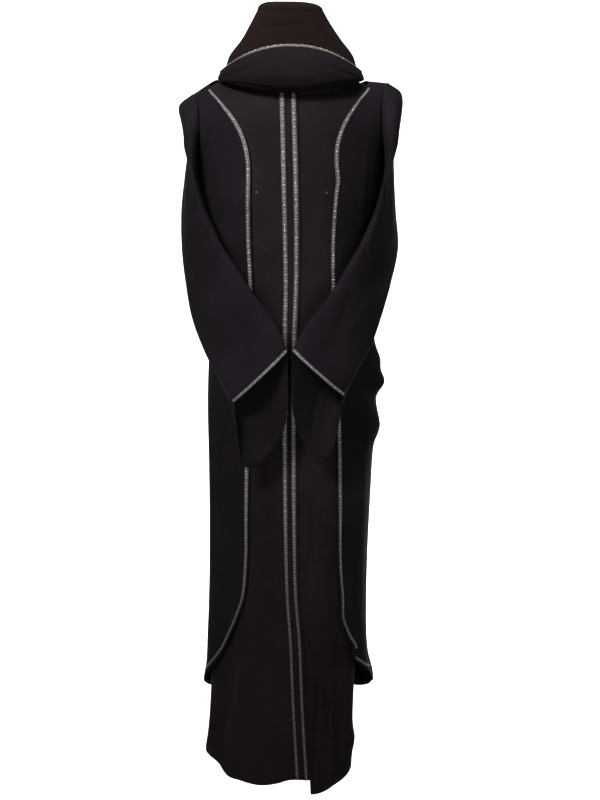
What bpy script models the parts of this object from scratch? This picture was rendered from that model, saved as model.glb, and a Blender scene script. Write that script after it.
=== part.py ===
"""A floor-length hooded kaftan in two layers, worn and filled out with no wearer.

The under layer is a long dress that carries the hood and the two centre braids. Over it lies an
open coat with wide sleeves, braided along its front edges and its cuffs. Each cut piece is a wall
of cloth, worked out from the sections below.

Metres, +Z up, and the front faces -Y. The origin lies at the base of the neck, at shoulder height.
Left and right are the wearer's: the right side lies towards -X.
"""

import math
from collections import namedtuple

import bmesh
import bpy
from mathutils import Vector

# Cloth, seams and braid
WALL = 0.0016
SEAM_GAP = 0.0003
SEWN_LAP = 0.0005
BRAID_WIDTH = 0.010
BRAID_THICK = 0.0018
PLACKET_MARGIN = 0.0085
PLACKET_OVERLAP = 0.030
PLACKET_LAP = 0.0030
STEP_INSIDE = 0.0025
STEP_OUTSIDE = 0.0015
LAP_START = math.radians(21)
LAP_FADE = math.radians(24)

# The body's section lies between an ellipse and a box
OVAL = 2.3
HOOD_OVAL = 2.2
UNDERARM_Z = -0.172
SHOULDER_ROUND = 0.11
LAYER_STEP = 0.007

# How finely the pieces are cut into faces
SKIRT_ROWS = 26
CHEST_ROWS = 8
HEM_TO_TOP = [("skirt", k / SKIRT_ROWS) for k in range(SKIRT_ROWS)]
HEM_TO_TOP += [("chest", k / CHEST_ROWS) for k in range(CHEST_ROWS + 1)]
SLEEVE_RINGS = 15
HOOD_COLUMNS = 26
COWL_COLUMNS = 18
LEAST_TURN = 0.004

# How far the under layer reaches to the wearer's right (-X), left (+X), front (-Y) and back (+Y)
Section = namedtuple("Section", "z right left front back")
BODY = (
    Section(z=-1.460, right=0.187, left=0.127, front=0.142, back=0.131),
    Section(z=-1.390, right=0.185, left=0.130, front=0.140, back=0.129),
    Section(z=-1.330, right=0.178, left=0.131, front=0.138, back=0.127),
    Section(z=-1.250, right=0.172, left=0.134, front=0.134, back=0.125),
    Section(z=-1.130, right=0.165, left=0.141, front=0.129, back=0.122),
    Section(z=-0.980, right=0.164, left=0.146, front=0.125, back=0.120),
    Section(z=-0.780, right=0.164, left=0.157, front=0.121, back=0.122),
    Section(z=-0.620, right=0.165, left=0.165, front=0.118, back=0.121),
    Section(z=-0.500, right=0.160, left=0.161, front=0.113, back=0.106),
    Section(z=-0.400, right=0.153, left=0.153, front=0.109, back=0.093),
    Section(z=-0.300, right=0.162, left=0.162, front=0.118, back=0.097),
    Section(z=-0.215, right=0.173, left=0.173, front=0.130, back=0.106),
    Section(z=-0.172, right=0.178, left=0.178, front=0.126, back=0.110),
    Section(z=-0.100, right=0.190, left=0.188, front=0.112, back=0.110),
    Section(z=-0.040, right=0.200, left=0.196, front=0.104, back=0.104),
    Section(z=0.050, right=0.205, left=0.200, front=0.098, back=0.098),
)

# How far the coat stands off the under layer on each side
COAT_EASE = (
    Section(z=-1.300, right=0.020, left=0.046, front=0.011, back=0.014),
    Section(z=-1.245, right=0.020, left=0.043, front=0.011, back=0.014),
    Section(z=-1.200, right=0.0135, left=0.029, front=0.010, back=0.012),
    Section(z=-1.130, right=0.012, left=0.018, front=0.009, back=0.011),
    Section(z=-0.980, right=0.006, left=0.012, front=0.006, back=0.008),
    Section(z=-0.620, right=0.005, left=0.008, front=0.005, back=0.006),
    Section(z=-0.300, right=0.005, left=0.005, front=0.005, back=0.005),
    Section(z=0.050, right=0.005, left=0.005, front=0.005, back=0.005),
)

# The coat's shoulder line, from the wearer's right to the left
Place = namedtuple("Place", "x z")
SHOULDER = (
    Place(x=-0.230, z=-0.047),
    Place(x=-0.190, z=-0.021),
    Place(x=-0.147, z=0.006),
    Place(x=-0.080, z=0.030),
    Place(x=0.000, z=0.040),
    Place(x=0.080, z=0.031),
    Place(x=0.140, z=0.0060),
    Place(x=0.190, z=-0.001),
    Place(x=0.230, z=-0.015),
)

# Hems, from side to side, and the two necklines
RIGHT_FRONT_HEM = (
    Place(x=-0.187, z=-1.380),
    Place(x=-0.168, z=-1.389),
    Place(x=-0.152, z=-1.400),
    Place(x=-0.145, z=-1.412),
    Place(x=-0.106, z=-1.4175),
    Place(x=-0.063, z=-1.424),
    Place(x=-0.025, z=-1.418),
    Place(x=-0.007, z=-1.4125),
    Place(x=0.040, z=-1.4155),
)
LEFT_FRONT_HEM = (
    Place(x=0.000, z=-1.408),
    Place(x=0.0370, z=-1.410),
    Place(x=0.0374, z=-1.410),
    Place(x=0.0396, z=-1.449),
    Place(x=0.0400, z=-1.449),
    Place(x=0.054, z=-1.4495),
    Place(x=0.089, z=-1.4455),
    Place(x=0.108, z=-1.4385),
    Place(x=0.127, z=-1.421),
)
BACK_HEM = (Place(x=-0.187, z=-1.380), Place(x=-0.10, z=-1.410), Place(x=0.00, z=-1.418), Place(x=0.13, z=-1.418))
COAT_FRONT_HEM = (Place(x=-0.20, z=-1.222), Place(x=0.00, z=-1.240), Place(x=0.20, z=-1.221))
COAT_BACK_HEM = (
    Place(x=-0.191, z=-1.262),
    Place(x=-0.178, z=-1.289),
    Place(x=-0.120, z=-1.296),
    Place(x=0.000, z=-1.304),
    Place(x=0.100, z=-1.294),
    Place(x=0.163, z=-1.287),
    Place(x=0.174, z=-1.262),
)
DRESS_NECK = {"half": 0.128, "front": -0.012, "back": -0.018}
COAT_NECK = {"half": 0.146, "back": -0.034}

# The armhole's edge, as a share of the section's half width, from the underarm up to the shoulder
Cut = namedtuple("Cut", "rise share")
ARMHOLE = (
    Cut(rise=0.00, share=1.000),
    Cut(rise=0.15, share=0.960),
    Cut(rise=0.35, share=0.895),
    Cut(rise=0.60, share=0.875),
    Cut(rise=0.80, share=0.895),
    Cut(rise=1.00, share=0.935),
)

# Where the braids run: x at each height
Pair = namedtuple("Pair", "z right left")
CENTRE_BRAIDS = (
    Pair(z=-1.430, right=0.013, left=0.031),
    Pair(z=-1.240, right=0.003, left=0.021),
    Pair(z=-1.110, right=-0.002, left=0.016),
    Pair(z=-1.020, right=-0.008, left=0.009),
    Pair(z=-0.900, right=-0.011, left=0.006),
    Pair(z=-0.500, right=-0.012, left=0.006),
    Pair(z=-0.370, right=-0.010, left=0.010),
    Pair(z=-0.215, right=-0.0125, left=0.010),
    Pair(z=-0.020, right=-0.017, left=0.005),
)
COAT_EDGES = (
    Pair(z=-1.245, right=-0.1860, left=0.1680),
    Pair(z=-1.213, right=-0.1745, left=0.1640),
    Pair(z=-1.180, right=-0.1595, left=0.1400),
    Pair(z=-1.158, right=-0.1495, left=0.1265),
    Pair(z=-1.137, right=-0.1400, left=0.1270),
    Pair(z=-1.116, right=-0.1310, left=0.1185),
    Pair(z=-1.070, right=-0.1100, left=0.1040),
    Pair(z=-1.025, right=-0.0940, left=0.1025),
    Pair(z=-0.960, right=-0.0865, left=0.0970),
    Pair(z=-0.820, right=-0.0840, left=0.0945),
    Pair(z=-0.600, right=-0.0800, left=0.0880),
    Pair(z=-0.400, right=-0.0735, left=0.0780),
    Pair(z=-0.300, right=-0.0765, left=0.0765),
    Pair(z=-0.215, right=-0.0770, left=0.0810),
    Pair(z=-0.177, right=-0.0760, left=0.0850),
    Pair(z=-0.139, right=-0.0770, left=0.0820),
    Pair(z=-0.102, right=-0.0850, left=0.0860),
    Pair(z=-0.065, right=-0.1030, left=0.1010),
    Pair(z=-0.029, right=-0.1330, left=0.1260),
    Pair(z=-0.008, right=-0.1540, left=0.1450),
    Pair(z=0.020, right=-0.1700, left=0.1560),
)

# Soft upright folds of the skirt, and the two humps of the coat over the left hip
FOLD_TOP_Z = -0.45
FOLD_DEEP = 0.0045
FOLD_COUNT = 8
FOLD_DRIFT = 2.4
FLAT_FRONT = math.radians(26)
Hump = namedtuple("Hump", "z height half_tall turn")
HIP_HUMPS = (
    Hump(z=-0.550, height=0.011, half_tall=0.024, turn=math.radians(80)),
    Hump(z=-0.592, height=0.018, half_tall=0.021, turn=math.radians(80)),
    Hump(z=-0.686, height=0.012, half_tall=0.030, turn=math.radians(80)),
)
HEM_HUMPS = (Hump(z=-1.362, height=0.007, half_tall=0.018, turn=math.radians(88)),)
HUMP_WIDE = math.radians(24)

# Each sleeve from the armhole to the cuff: its outer and inner edges as seen from the front, how
# far its two layers swell from the line between them, and how far the back one leans out, hangs
# lower and is tucked in
RING_COLUMNS = "along outer_x outer_y outer_z inner_x inner_y inner_z front back lean hang tuck"
Ring = namedtuple("Ring", RING_COLUMNS)
RIGHT_SLEEVE = (
    Ring(0.00, -0.195, 0.000, -0.022, -0.183, 0.000, -0.172, 0.070, 0.075, 0.000, 0.000, 0.000),
    Ring(0.08, -0.2205, 0.000, -0.045, -0.1808, -0.032, -0.177, 0.072, 0.076, 0.004, 0.000, 0.000),
    Ring(0.16, -0.2135, 0.000, -0.085, -0.1776, -0.047, -0.189, 0.074, 0.072, 0.009, 0.000, 0.000),
    Ring(0.24, -0.204, 0.000, -0.130, -0.172, -0.060, -0.210, 0.070, 0.072, 0.012, 0.000, 0.000),
    Ring(0.33, -0.2085, 0.000, -0.185, -0.163, -0.082, -0.236, 0.058, 0.066, 0.016, 0.000, 0.000),
    Ring(0.43, -0.216, -0.006, -0.250, -0.148, -0.108, -0.268, 0.048, 0.054, 0.016, 0.000, 0.000),
    Ring(0.53, -0.217, -0.022, -0.320, -0.130, -0.132, -0.302, 0.040, 0.042, 0.010, 0.000, 0.000),
    Ring(0.63, -0.209, -0.050, -0.385, -0.103, -0.152, -0.340, 0.034, 0.034, 0.004, 0.000, 0.000),
    Ring(0.73, -0.195, -0.085, -0.450, -0.073, -0.166, -0.385, 0.030, 0.028, 0.000, 0.004, 0.006),
    Ring(0.83, -0.167, -0.122, -0.515, -0.041, -0.176, -0.425, 0.026, 0.022, 0.000, 0.040, 0.022),
    Ring(0.92, -0.138, -0.155, -0.560, -0.021, -0.186, -0.455, 0.022, 0.018, 0.000, 0.100, 0.040),
    Ring(1.00, -0.109, -0.180, -0.598, -0.0065, -0.194, -0.495, 0.020, 0.018, 0.000, 0.168, 0.012),
)
LEFT_SLEEVE = (
    Ring(0.00, 0.195, 0.000, 0.000, 0.183, 0.000, -0.172, 0.070, 0.075, 0.000, 0.000, 0.000),
    Ring(0.08, 0.2200, 0.000, -0.022, 0.1804, -0.034, -0.177, 0.072, 0.076, 0.004, 0.000, 0.000),
    Ring(0.16, 0.2165, 0.000, -0.070, 0.1776, -0.047, -0.189, 0.074, 0.072, 0.009, 0.000, 0.000),
    Ring(0.24, 0.202, 0.000, -0.125, 0.172, -0.060, -0.210, 0.070, 0.072, 0.012, 0.000, 0.000),
    Ring(0.33, 0.2005, 0.000, -0.185, 0.163, -0.082, -0.236, 0.058, 0.066, 0.016, 0.000, 0.000),
    Ring(0.43, 0.205, -0.006, -0.250, 0.148, -0.108, -0.268, 0.048, 0.054, 0.016, 0.000, 0.000),
    Ring(0.53, 0.212, -0.022, -0.320, 0.130, -0.132, -0.302, 0.040, 0.042, 0.010, 0.000, 0.000),
    Ring(0.63, 0.198, -0.050, -0.385, 0.106, -0.152, -0.340, 0.034, 0.034, 0.004, 0.000, 0.000),
    Ring(0.73, 0.180, -0.085, -0.440, 0.078, -0.166, -0.385, 0.030, 0.028, 0.000, 0.004, 0.006),
    Ring(0.83, 0.156, -0.122, -0.500, 0.046, -0.176, -0.425, 0.026, 0.022, 0.000, 0.038, 0.022),
    Ring(0.92, 0.126, -0.155, -0.545, 0.023, -0.186, -0.455, 0.022, 0.018, 0.000, 0.100, 0.044),
    Ring(1.00, 0.100, -0.180, -0.585, 0.0025, -0.194, -0.493, 0.020, 0.018, 0.000, 0.160, 0.022),
)
HANG_SQUARENESS = 0.32
HANG_TOE = 0.02
ARMHOLE_FADE = 0.20
SLEEVE_LENGTH = 0.55

# The hood's crown
CROWN = (
    Section(z=-0.020, right=0.134, left=0.134, front=0.090, back=0.099),
    Section(z=0.012, right=0.137, left=0.138, front=0.084, back=0.116),
    Section(z=0.046, right=0.1255, left=0.1262, front=0.074, back=0.125),
    Section(z=0.082, right=0.0965, left=0.098, front=0.064, back=0.117),
    Section(z=0.114, right=0.078, left=0.076, front=0.054, back=0.098),
    Section(z=0.138, right=0.065, left=0.062, front=0.043, back=0.072),
)
CROWN_TOP_Z = 0.155
CROWN_TOP_X = -0.022
CROWN_FRONT_Z = 0.036
CROWN_SEAM_FADE = 0.30
CROWN_SIDES = 0.62
CROWN_RISES = [CROWN_SIDES * k / 6 for k in range(7)] + [0.74, 0.86, 0.95]
CROWN_FACING = 0.6
CROWN_ROUND = 0.55
NECK_CURVE = 2.4

# The hood's draped front, from its seam at the neckline up to its free edge
Drape = namedtuple("Drape", "share half_wide front z_front z_side")
COWL = (
    Drape(share=0.00, half_wide=0.129, front=0.088, z_front=-0.012, z_side=0.007),
    Drape(share=0.15, half_wide=0.135, front=0.104, z_front=-0.013, z_side=0.0045),
    Drape(share=0.35, half_wide=0.141, front=0.124, z_front=0.000, z_side=0.0045),
    Drape(share=0.60, half_wide=0.143, front=0.126, z_front=0.032, z_side=0.009),
    Drape(share=0.82, half_wide=0.141, front=0.112, z_front=0.060, z_side=0.015),
    Drape(share=1.00, half_wide=0.137, front=0.094, z_front=0.076, z_side=0.023),
)
COWL_SHARES = (0.0, 0.08, 0.17, 0.28, 0.42, 0.57, 0.72, 0.88, 1.0)
COWL_END = math.radians(84)
COWL_SEAM_FADE = 0.17


def read(table, column, at):
    """The column's value at a place between the table's rows, on a smooth curve through them."""
    keys = [row[0] for row in table]
    values = [getattr(row, column) for row in table]
    if at <= keys[0]:
        return values[0]
    if at >= keys[-1]:
        return values[-1]
    k = max(i for i in range(len(keys) - 1) if keys[i] <= at)
    steps = [(values[i + 1] - values[i]) / (keys[i + 1] - keys[i]) for i in range(len(keys) - 1)]
    leave = steps[k] if k == 0 else (steps[k - 1] + steps[k]) / 2
    arrive = steps[k] if k == len(steps) - 1 else (steps[k] + steps[k + 1]) / 2
    wide = keys[k + 1] - keys[k]
    s = (at - keys[k]) / wide
    rise = values[k + 1] - values[k]
    return values[k] + s * s * (3 - 2 * s) * rise + s * (s - 1) * wide * ((s - 1) * leave + s * arrive)


def ease_in(share):
    share = min(max(share, 0.0), 1.0)
    return share * share * (3 - 2 * share)


def power(value, exponent):
    return math.copysign(abs(value) ** exponent, value)


def section(layer, z):
    """Centre, half width, front and back reach of a layer of the body at a height."""
    reach = {}
    for side in ("right", "left", "front", "back"):
        reach[side] = read(BODY, side, z) + (read(COAT_EASE, side, z) if layer == "coat" else 0.0)
    centre = (reach["left"] - reach["right"]) / 2
    return centre, (reach["left"] + reach["right"]) / 2, reach["front"], reach["back"]


def shoulder_z(layer, x):
    return read(SHOULDER, "z", x) - (0.0 if layer == "coat" else LAYER_STEP)


def height_below(drop):
    """How far a point lies under the shoulder line: drop is 0 on the line, and 1 at the full chest."""
    if drop < 1:
        return SHOULDER_ROUND * (1 - math.cos(abs(drop) * math.pi / 2))
    return SHOULDER_ROUND * (1 + (drop - 1) * math.pi / 2)


def drop_at(below):
    if below < SHOULDER_ROUND:
        return math.acos(1 - max(below, 0.0) / SHOULDER_ROUND) * 2 / math.pi
    return 1 + (below / SHOULDER_ROUND - 1) * 2 / math.pi


def folds(layer, turn, z):
    """How far the cloth stands out in its soft upright folds and in the humps over the hip."""
    grown = ease_in((FOLD_TOP_Z - z) / 0.6)
    away = 1 - math.exp(-((turn / FLAT_FRONT) ** 2))
    out = FOLD_DEEP * grown * away * math.cos(FOLD_COUNT * turn + FOLD_DRIFT * z)
    for hump in HIP_HUMPS if layer == "coat" else HEM_HUMPS:
        tall = math.exp(-(((z - hump.z) / hump.half_tall) ** 2))
        out += hump.height * tall * math.exp(-(((turn - hump.turn) / HUMP_WIDE) ** 2))
    return out


def torso(layer, turn, drop):
    """A point on a layer's outer face. Turn is 0 in front and a quarter turn at the wearer's left."""
    below = height_below(drop)
    x = 0.0
    for _ in range(6):
        z = shoulder_z(layer, x) - below
        centre, half, front, back = section(layer, z)
        x = centre + half * power(math.sin(turn), 2 / OVAL)
    rounding = math.sin(min(max(drop, -1.0), 1.0) * math.pi / 2)
    deep = front if math.cos(turn) > 0 else back
    y = -deep * power(math.cos(turn), 2 / OVAL) * rounding
    out = folds(layer, turn, z) * rounding
    return Vector((x + out * math.sin(turn), y - out * math.cos(turn), z))


def turn_at(layer, x, z, behind=False):
    centre, half, _, _ = section(layer, z)
    share = min(max((x - centre) / half, -1.0), 1.0)
    turn = math.asin(power(share, OVAL / 2))
    return math.copysign(math.pi, turn) - turn if behind else turn


def plain_x(layer, turn, z):
    centre, half, _, _ = section(layer, z)
    return centre + half * power(math.sin(turn), 2 / OVAL)


def neck_z(layer, x, behind):
    """The height of a panel's top edge: the shoulder line, or the neckline between its ends."""
    neck = COAT_NECK if layer == "coat" else DRESS_NECK
    if abs(x) >= neck["half"] or "front" not in neck and not behind:
        return shoulder_z(layer, x)
    end = shoulder_z(layer, math.copysign(neck["half"], x))
    middle = neck["back" if behind else "front"]
    return middle + (end - middle) * (abs(x) / neck["half"]) ** NECK_CURVE


def row_z(layer, row, x, hem, behind):
    """The height of a row of a panel at x, between its hem, the underarm and its top edge."""
    zone, share = row
    if zone == "skirt":
        low = read(hem, "z", x)
        return low + (UNDERARM_Z - low) * share
    high = neck_z(layer, x, behind)
    return high - (high - UNDERARM_Z) * (1 - math.cos((1 - share) * math.pi / 2))


def settle(layer, row, hem, behind, turn_of_z):
    """The turn and height where a row of a panel meets a line that is given by height."""
    z = UNDERARM_Z
    for _ in range(8):
        turn = turn_of_z(z)
        z = row_z(layer, row, plain_x(layer, turn, z), hem, behind)
    return turn, z


def side_line(layer, side, row, behind):
    """The turn of a panel's outer edge: the side seam, or the armhole above it."""
    zone, share = row
    if zone == "skirt" or share == 0:
        return lambda z: side * math.pi / 2
    cut = read(ARMHOLE, "share", share)

    def line(z):
        centre, half, _, _ = section(layer, z)
        return turn_at(layer, centre + side * half * cut, z, behind)

    return line


def level_line(layer, place, behind=False):
    """The turn of a line that is given as x by height."""
    return lambda z: turn_at(layer, place(z), z, behind)


def keep_apart(turns, counts):
    """The turns of a panel's lines, spread a little where they would meet at its side seam."""
    least = [LEAST_TURN * count for count in counts]
    if abs(turns[0]) > abs(turns[-1]):
        for k, step in enumerate(least):
            turns[k + 1] = max(turns[k + 1], turns[k] + step)
    else:
        for k in reversed(range(len(least))):
            turns[k] = min(turns[k], turns[k + 1] - least[k])
    return turns


def panel_grid(layer, rows, hem, behind, lines, counts):
    """The turn and drop of each point of a panel, whose columns are spread between its lines."""
    grid = []
    for row in rows:
        turns = [settle(layer, row, hem, behind, line(row))[0] for line in lines]
        turns = turns if behind else keep_apart(turns, counts)
        if behind:
            turns = [turn + 2 * math.pi if turn < 0 else turn for turn in turns]
        spread = [turns[0]]
        for k, count in enumerate(counts):
            spread += [turns[k] + (turns[k + 1] - turns[k]) * (i + 1) / count for i in range(count)]
        points = []
        for turn in spread:
            z = settle(layer, row, hem, behind, lambda z, turn=turn: turn)[1]
            x = plain_x(layer, turn, z)
            points.append((turn, drop_at(shoulder_z(layer, x) - z)))
        grid.append(points)
    return grid


def outward(surface, u, v, flip):
    step = 1e-4
    along_u = surface(u + step, v) - surface(u - step, v)
    along_v = surface(u, v + step) - surface(u, v - step)
    return along_u.cross(along_v).normalized() * flip


def offset_grid(surface, grid, distance, flip, seat=None):
    """The grid's points on the surface, moved out by a distance along its normal."""
    rows = []
    for line in grid:
        points = []
        for u, v in line:
            move = distance(u, v) if callable(distance) else distance
            point = surface(u, v) + outward(surface, u, v, flip) * move
            points.append(seat(point) if seat else point)
        rows.append(points)
    return rows


def in_front(point):
    """A front panel ends half a seam gap in front of the seam."""
    return Vector((point.x, min(point.y, -SEAM_GAP / 2), point.z))


def at_back(point):
    return Vector((point.x, max(point.y, SEAM_GAP / 2), point.z))


def wall_faces(rows, columns, ring):
    """The faces of a closed wall whose outer points come first, then its inner points."""
    inner = rows * columns
    around = columns if ring else columns - 1
    faces = []

    def corner(r, c):
        return r * columns + c % columns

    for r in range(rows - 1):
        for c in range(around):
            a, b = corner(r, c), corner(r, c + 1)
            d, e = corner(r + 1, c + 1), corner(r + 1, c)
            for triangle in ((a, b, d), (a, d, e)):
                faces.append(triangle)
                faces.append(tuple(inner + k for k in reversed(triangle)))
    for c in range(around):
        first = (corner(0, c + 1), corner(0, c))
        last = (corner(rows - 1, c), corner(rows - 1, c + 1))
        for a, b in (first, last):
            faces.append((a, b, inner + b, inner + a))
    if not ring:
        for r in range(rows - 1):
            start = (corner(r, 0), corner(r + 1, 0))
            end = (corner(r + 1, columns - 1), corner(r, columns - 1))
            for a, b in (start, end):
                faces.append((a, b, inner + b, inner + a))
    return faces


def add_object(name, points, faces, material):
    """A closed mesh with its faces turned outwards and its sharp edges kept."""
    mesh = bpy.data.meshes.new(name)
    mesh.from_pydata(points, [], faces)
    mesh.materials.append(material)
    work = bmesh.new()
    work.from_mesh(mesh)
    bmesh.ops.recalc_face_normals(work, faces=work.faces)
    work.to_mesh(mesh)
    work.free()
    mesh.shade_smooth()
    mesh.set_sharp_from_angle(angle=math.radians(50))
    obj = bpy.data.objects.new(name, mesh)
    bpy.context.scene.collection.objects.link(obj)
    obj.parent = bpy.data.objects["kaftan"]
    return obj


def wall(name, surface, grid, near, far, flip, material, seat=None, ring=False):
    """A closed wall between two distances from a surface, as cloth (near is minus its thickness)."""
    outer = offset_grid(surface, grid, far, flip, seat)
    inner = offset_grid(surface, grid, near, flip, seat)
    rows, columns = len(grid), len(grid[0])
    points = [point for line in outer + inner for point in line]
    return add_object(name, points, wall_faces(rows, columns, ring), material)


def columns_of(grid, first, last):
    return [line[first : last + 1] for line in grid]


def cloth_material(name, colour, roughness):
    material = bpy.data.materials.new(name)
    material.use_nodes = True
    shader = material.node_tree.nodes["Principled BSDF"]
    shader.inputs["Base Color"].default_value = (*colour, 1.0)
    shader.inputs["Roughness"].default_value = roughness
    return material


def braid_material():
    material = cloth_material("silver_braid", (0.30, 0.29, 0.28), 0.45)
    material.node_tree.nodes["Principled BSDF"].inputs["Metallic"].default_value = 0.6
    return material


def braid_edge(column, side_of_centre):
    """A line half a braid's width to one side of a centre braid."""
    return lambda z: read(CENTRE_BRAIDS, column, z) + side_of_centre * BRAID_WIDTH / 2


def placket_edge(z):
    return read(CENTRE_BRAIDS, "left", z) + PLACKET_MARGIN


def coat_edge(column, side, inset):
    """The coat's front edge, or a line that lies further in from it, measured across the edge."""

    def line(z):
        slope = (read(COAT_EDGES, column, z + 0.004) - read(COAT_EDGES, column, z - 0.004)) / 0.008
        return read(COAT_EDGES, column, z) + side * inset * math.hypot(1, min(abs(slope), 1.2))

    return line


def fixed(line):
    return lambda row: line


def neck_corner(layer, side, behind=False):
    """The turn at which the neckline meets the shoulder line, kept all the way down the panel."""
    half = (COAT_NECK if layer == "coat" else DRESS_NECK)["half"]
    turn = turn_at(layer, side * half, shoulder_z(layer, side * half), behind)
    return fixed(lambda z: turn)


def dress(cloth, braid):
    """The under layer: two fronts that lap at the placket, a back, and the two centre braids."""

    def surface(turn, drop):
        return torso("dress", turn, drop)

    lines = [
        lambda row: side_line("dress", -1, row, False),
        neck_corner("dress", -1),
        fixed(level_line("dress", braid_edge("right", -1))),
        fixed(level_line("dress", braid_edge("right", 1))),
        fixed(level_line("dress", braid_edge("left", -1))),
        fixed(level_line("dress", braid_edge("left", 1))),
        fixed(level_line("dress", placket_edge)),
    ]
    right = panel_grid("dress", HEM_TO_TOP, RIGHT_FRONT_HEM, False, lines, (3, 4, 1, 1, 1, 1))
    wall("kaftan_front_right", surface, right, -WALL, 0.0, -1, cloth, in_front)

    lines = [
        fixed(level_line("dress", lambda z: placket_edge(z) - PLACKET_OVERLAP)),
        fixed(level_line("dress", lambda z: placket_edge(z) - STEP_INSIDE)),
        fixed(level_line("dress", lambda z: placket_edge(z) + STEP_OUTSIDE)),
        neck_corner("dress", 1),
        lambda row: side_line("dress", 1, row, False),
    ]
    left = panel_grid("dress", HEM_TO_TOP, LEFT_FRONT_HEM, False, lines, (2, 1, 4, 3))

    def sunk(turn, drop):
        return -PLACKET_LAP * (1 - ease_in((turn - LAP_START) / LAP_FADE))

    def sunk_inner(turn, drop):
        return sunk(turn, drop) - WALL

    wall("kaftan_front_left", surface, left, sunk_inner, sunk, -1, cloth, in_front)

    lines = [
        lambda row: side_line("dress", 1, row, True),
        neck_corner("dress", 1, True),
        neck_corner("dress", -1, True),
        lambda row: side_line("dress", -1, row, True),
    ]
    back = panel_grid("dress", HEM_TO_TOP, BACK_HEM, True, lines, (2, 10, 2))
    wall("kaftan_back", surface, back, -WALL, 0.0, -1, cloth, at_back)

    for name, first in (("braid_centre_right", 7), ("braid_centre_left", 9)):
        strip = columns_of(right, first, first + 1)[:-1]
        wall(name, surface, strip, SEAM_GAP, SEAM_GAP + BRAID_THICK, -1, braid)


def coat(cloth, braid):
    """The open coat over it: two side fronts, a back, and the braids along its front edges."""

    def surface(turn, drop):
        return torso("coat", turn, drop)

    for name, column, side in (("right", "right", -1), ("left", "left", 1)):
        lines = [
            fixed(level_line("coat", coat_edge(column, side, 0.0))),
            fixed(level_line("coat", coat_edge(column, side, BRAID_WIDTH))),
            lambda row, side=side: side_line("coat", side, row, False),
        ]
        counts = (1, 6)
        if side < 0:
            lines.reverse()
            counts = (6, 1)
        grid = panel_grid("coat", HEM_TO_TOP, COAT_FRONT_HEM, False, lines, counts)
        wall(f"coat_side_front_{name}", surface, grid, -WALL, 0.0, -1, cloth, in_front)
        strip = (columns_of(grid, 6, 7) if side < 0 else columns_of(grid, 0, 1))[:-2]
        wall(f"braid_coat_{name}", surface, strip, SEAM_GAP, SEAM_GAP + BRAID_THICK, -1, braid, in_front)

    lines = [
        lambda row: side_line("coat", 1, row, True),
        neck_corner("coat", 1, True),
        neck_corner("coat", -1, True),
        lambda row: side_line("coat", -1, row, True),
    ]
    back = panel_grid("coat", HEM_TO_TOP, COAT_BACK_HEM, True, lines, (2, 10, 2))
    wall("coat_back", surface, back, -WALL, 0.0, -1, cloth, at_back)


def armhole_point(side, around):
    """A point on the coat's armhole, from the shoulder down its front edge and up the back."""
    share = abs(1 - around * 2)
    behind = around > 0.5
    row = ("chest", share)
    turn, z = settle("coat", row, COAT_BACK_HEM, behind, side_line("coat", side, row, behind))
    x = plain_x("coat", turn, z)
    drop = drop_at(shoulder_z("coat", x) - z)
    out = outward(lambda u, v: torso("coat", u, v), turn, drop, -1)
    return torso("coat", turn, drop) + out * (SEWN_LAP + WALL)


def sleeve_section(table, along, around):
    """A point of the sleeve's plain section: a flat tube between its outer and inner edges."""
    value = {name: read(table, name, along) for name in Ring._fields[1:]}
    outer = Vector((value["outer_x"], value["outer_y"], value["outer_z"]))
    inner = Vector((value["inner_x"], value["inner_y"], value["inner_z"]))
    angle = around * 2 * math.pi
    point = (outer + inner) / 2 + (outer - inner) / 2 * math.cos(angle)
    swell = math.sin(angle)
    if swell > 0:
        return point + Vector((0.0, -value["front"] * swell, 0.0))
    square = (-swell) ** HANG_SQUARENESS
    tucked = value["tuck"] * square * (1 + math.cos(angle)) / 2
    toe = HANG_TOE * value["hang"] * square * (1 - math.cos(angle)) / 2
    aside = math.copysign(1, outer.x) * (value["lean"] * -swell - tucked - toe)
    return point + Vector((aside, -value["back"] * swell, -value["hang"] * square))


def sleeve(side, table):
    """The sleeve's outer face: along runs from the armhole to the cuff, around starts at the outer edge."""
    kept = {}

    def surface(along, around):
        around = around % 1.0
        point = sleeve_section(table, along, around)
        if along < ARMHOLE_FADE:
            if around not in kept:
                kept[around] = armhole_point(side, around) - sleeve_section(table, 0.0, around)
            point = point + kept[around] * (1 - ease_in(along / ARMHOLE_FADE))
        return point

    return surface


def sleeves(cloth, braid):
    around = [k / (2 * CHEST_ROWS) for k in range(2 * CHEST_ROWS)]
    for name, side, table in (("right", -1, RIGHT_SLEEVE), ("left", 1, LEFT_SLEEVE)):
        surface = sleeve(side, table)
        cuff = BRAID_WIDTH / SLEEVE_LENGTH
        along = [(k / (SLEEVE_RINGS - 1)) * (1 - cuff) for k in range(SLEEVE_RINGS)] + [1.0]
        grid = [[(a, b) for b in around] for a in along]
        flip = 1 if side < 0 else -1
        wall(f"sleeve_{name}", surface, grid, -WALL, 0.0, flip, cloth, ring=True)
        wall(
            f"braid_cuff_{name}",
            surface,
            grid[-2:],
            SEAM_GAP,
            SEAM_GAP + BRAID_THICK,
            flip,
            braid,
            ring=True,
        )


def neckline_point(turn):
    """A point on the dress's neckline, lapped on from outside."""
    behind = math.cos(turn) < 0
    x = DRESS_NECK["half"] * power(math.sin(turn), 2 / HOOD_OVAL)
    z = neck_z("dress", x, behind) if abs(x) < DRESS_NECK["half"] else shoulder_z("dress", x)
    at = turn_at("dress", x, z, behind)
    drop = drop_at(shoulder_z("dress", x) - z)
    out = outward(lambda u, v: torso("dress", u, v), at, drop, -1)
    return torso("dress", at, drop) + out * SEWN_LAP


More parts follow.
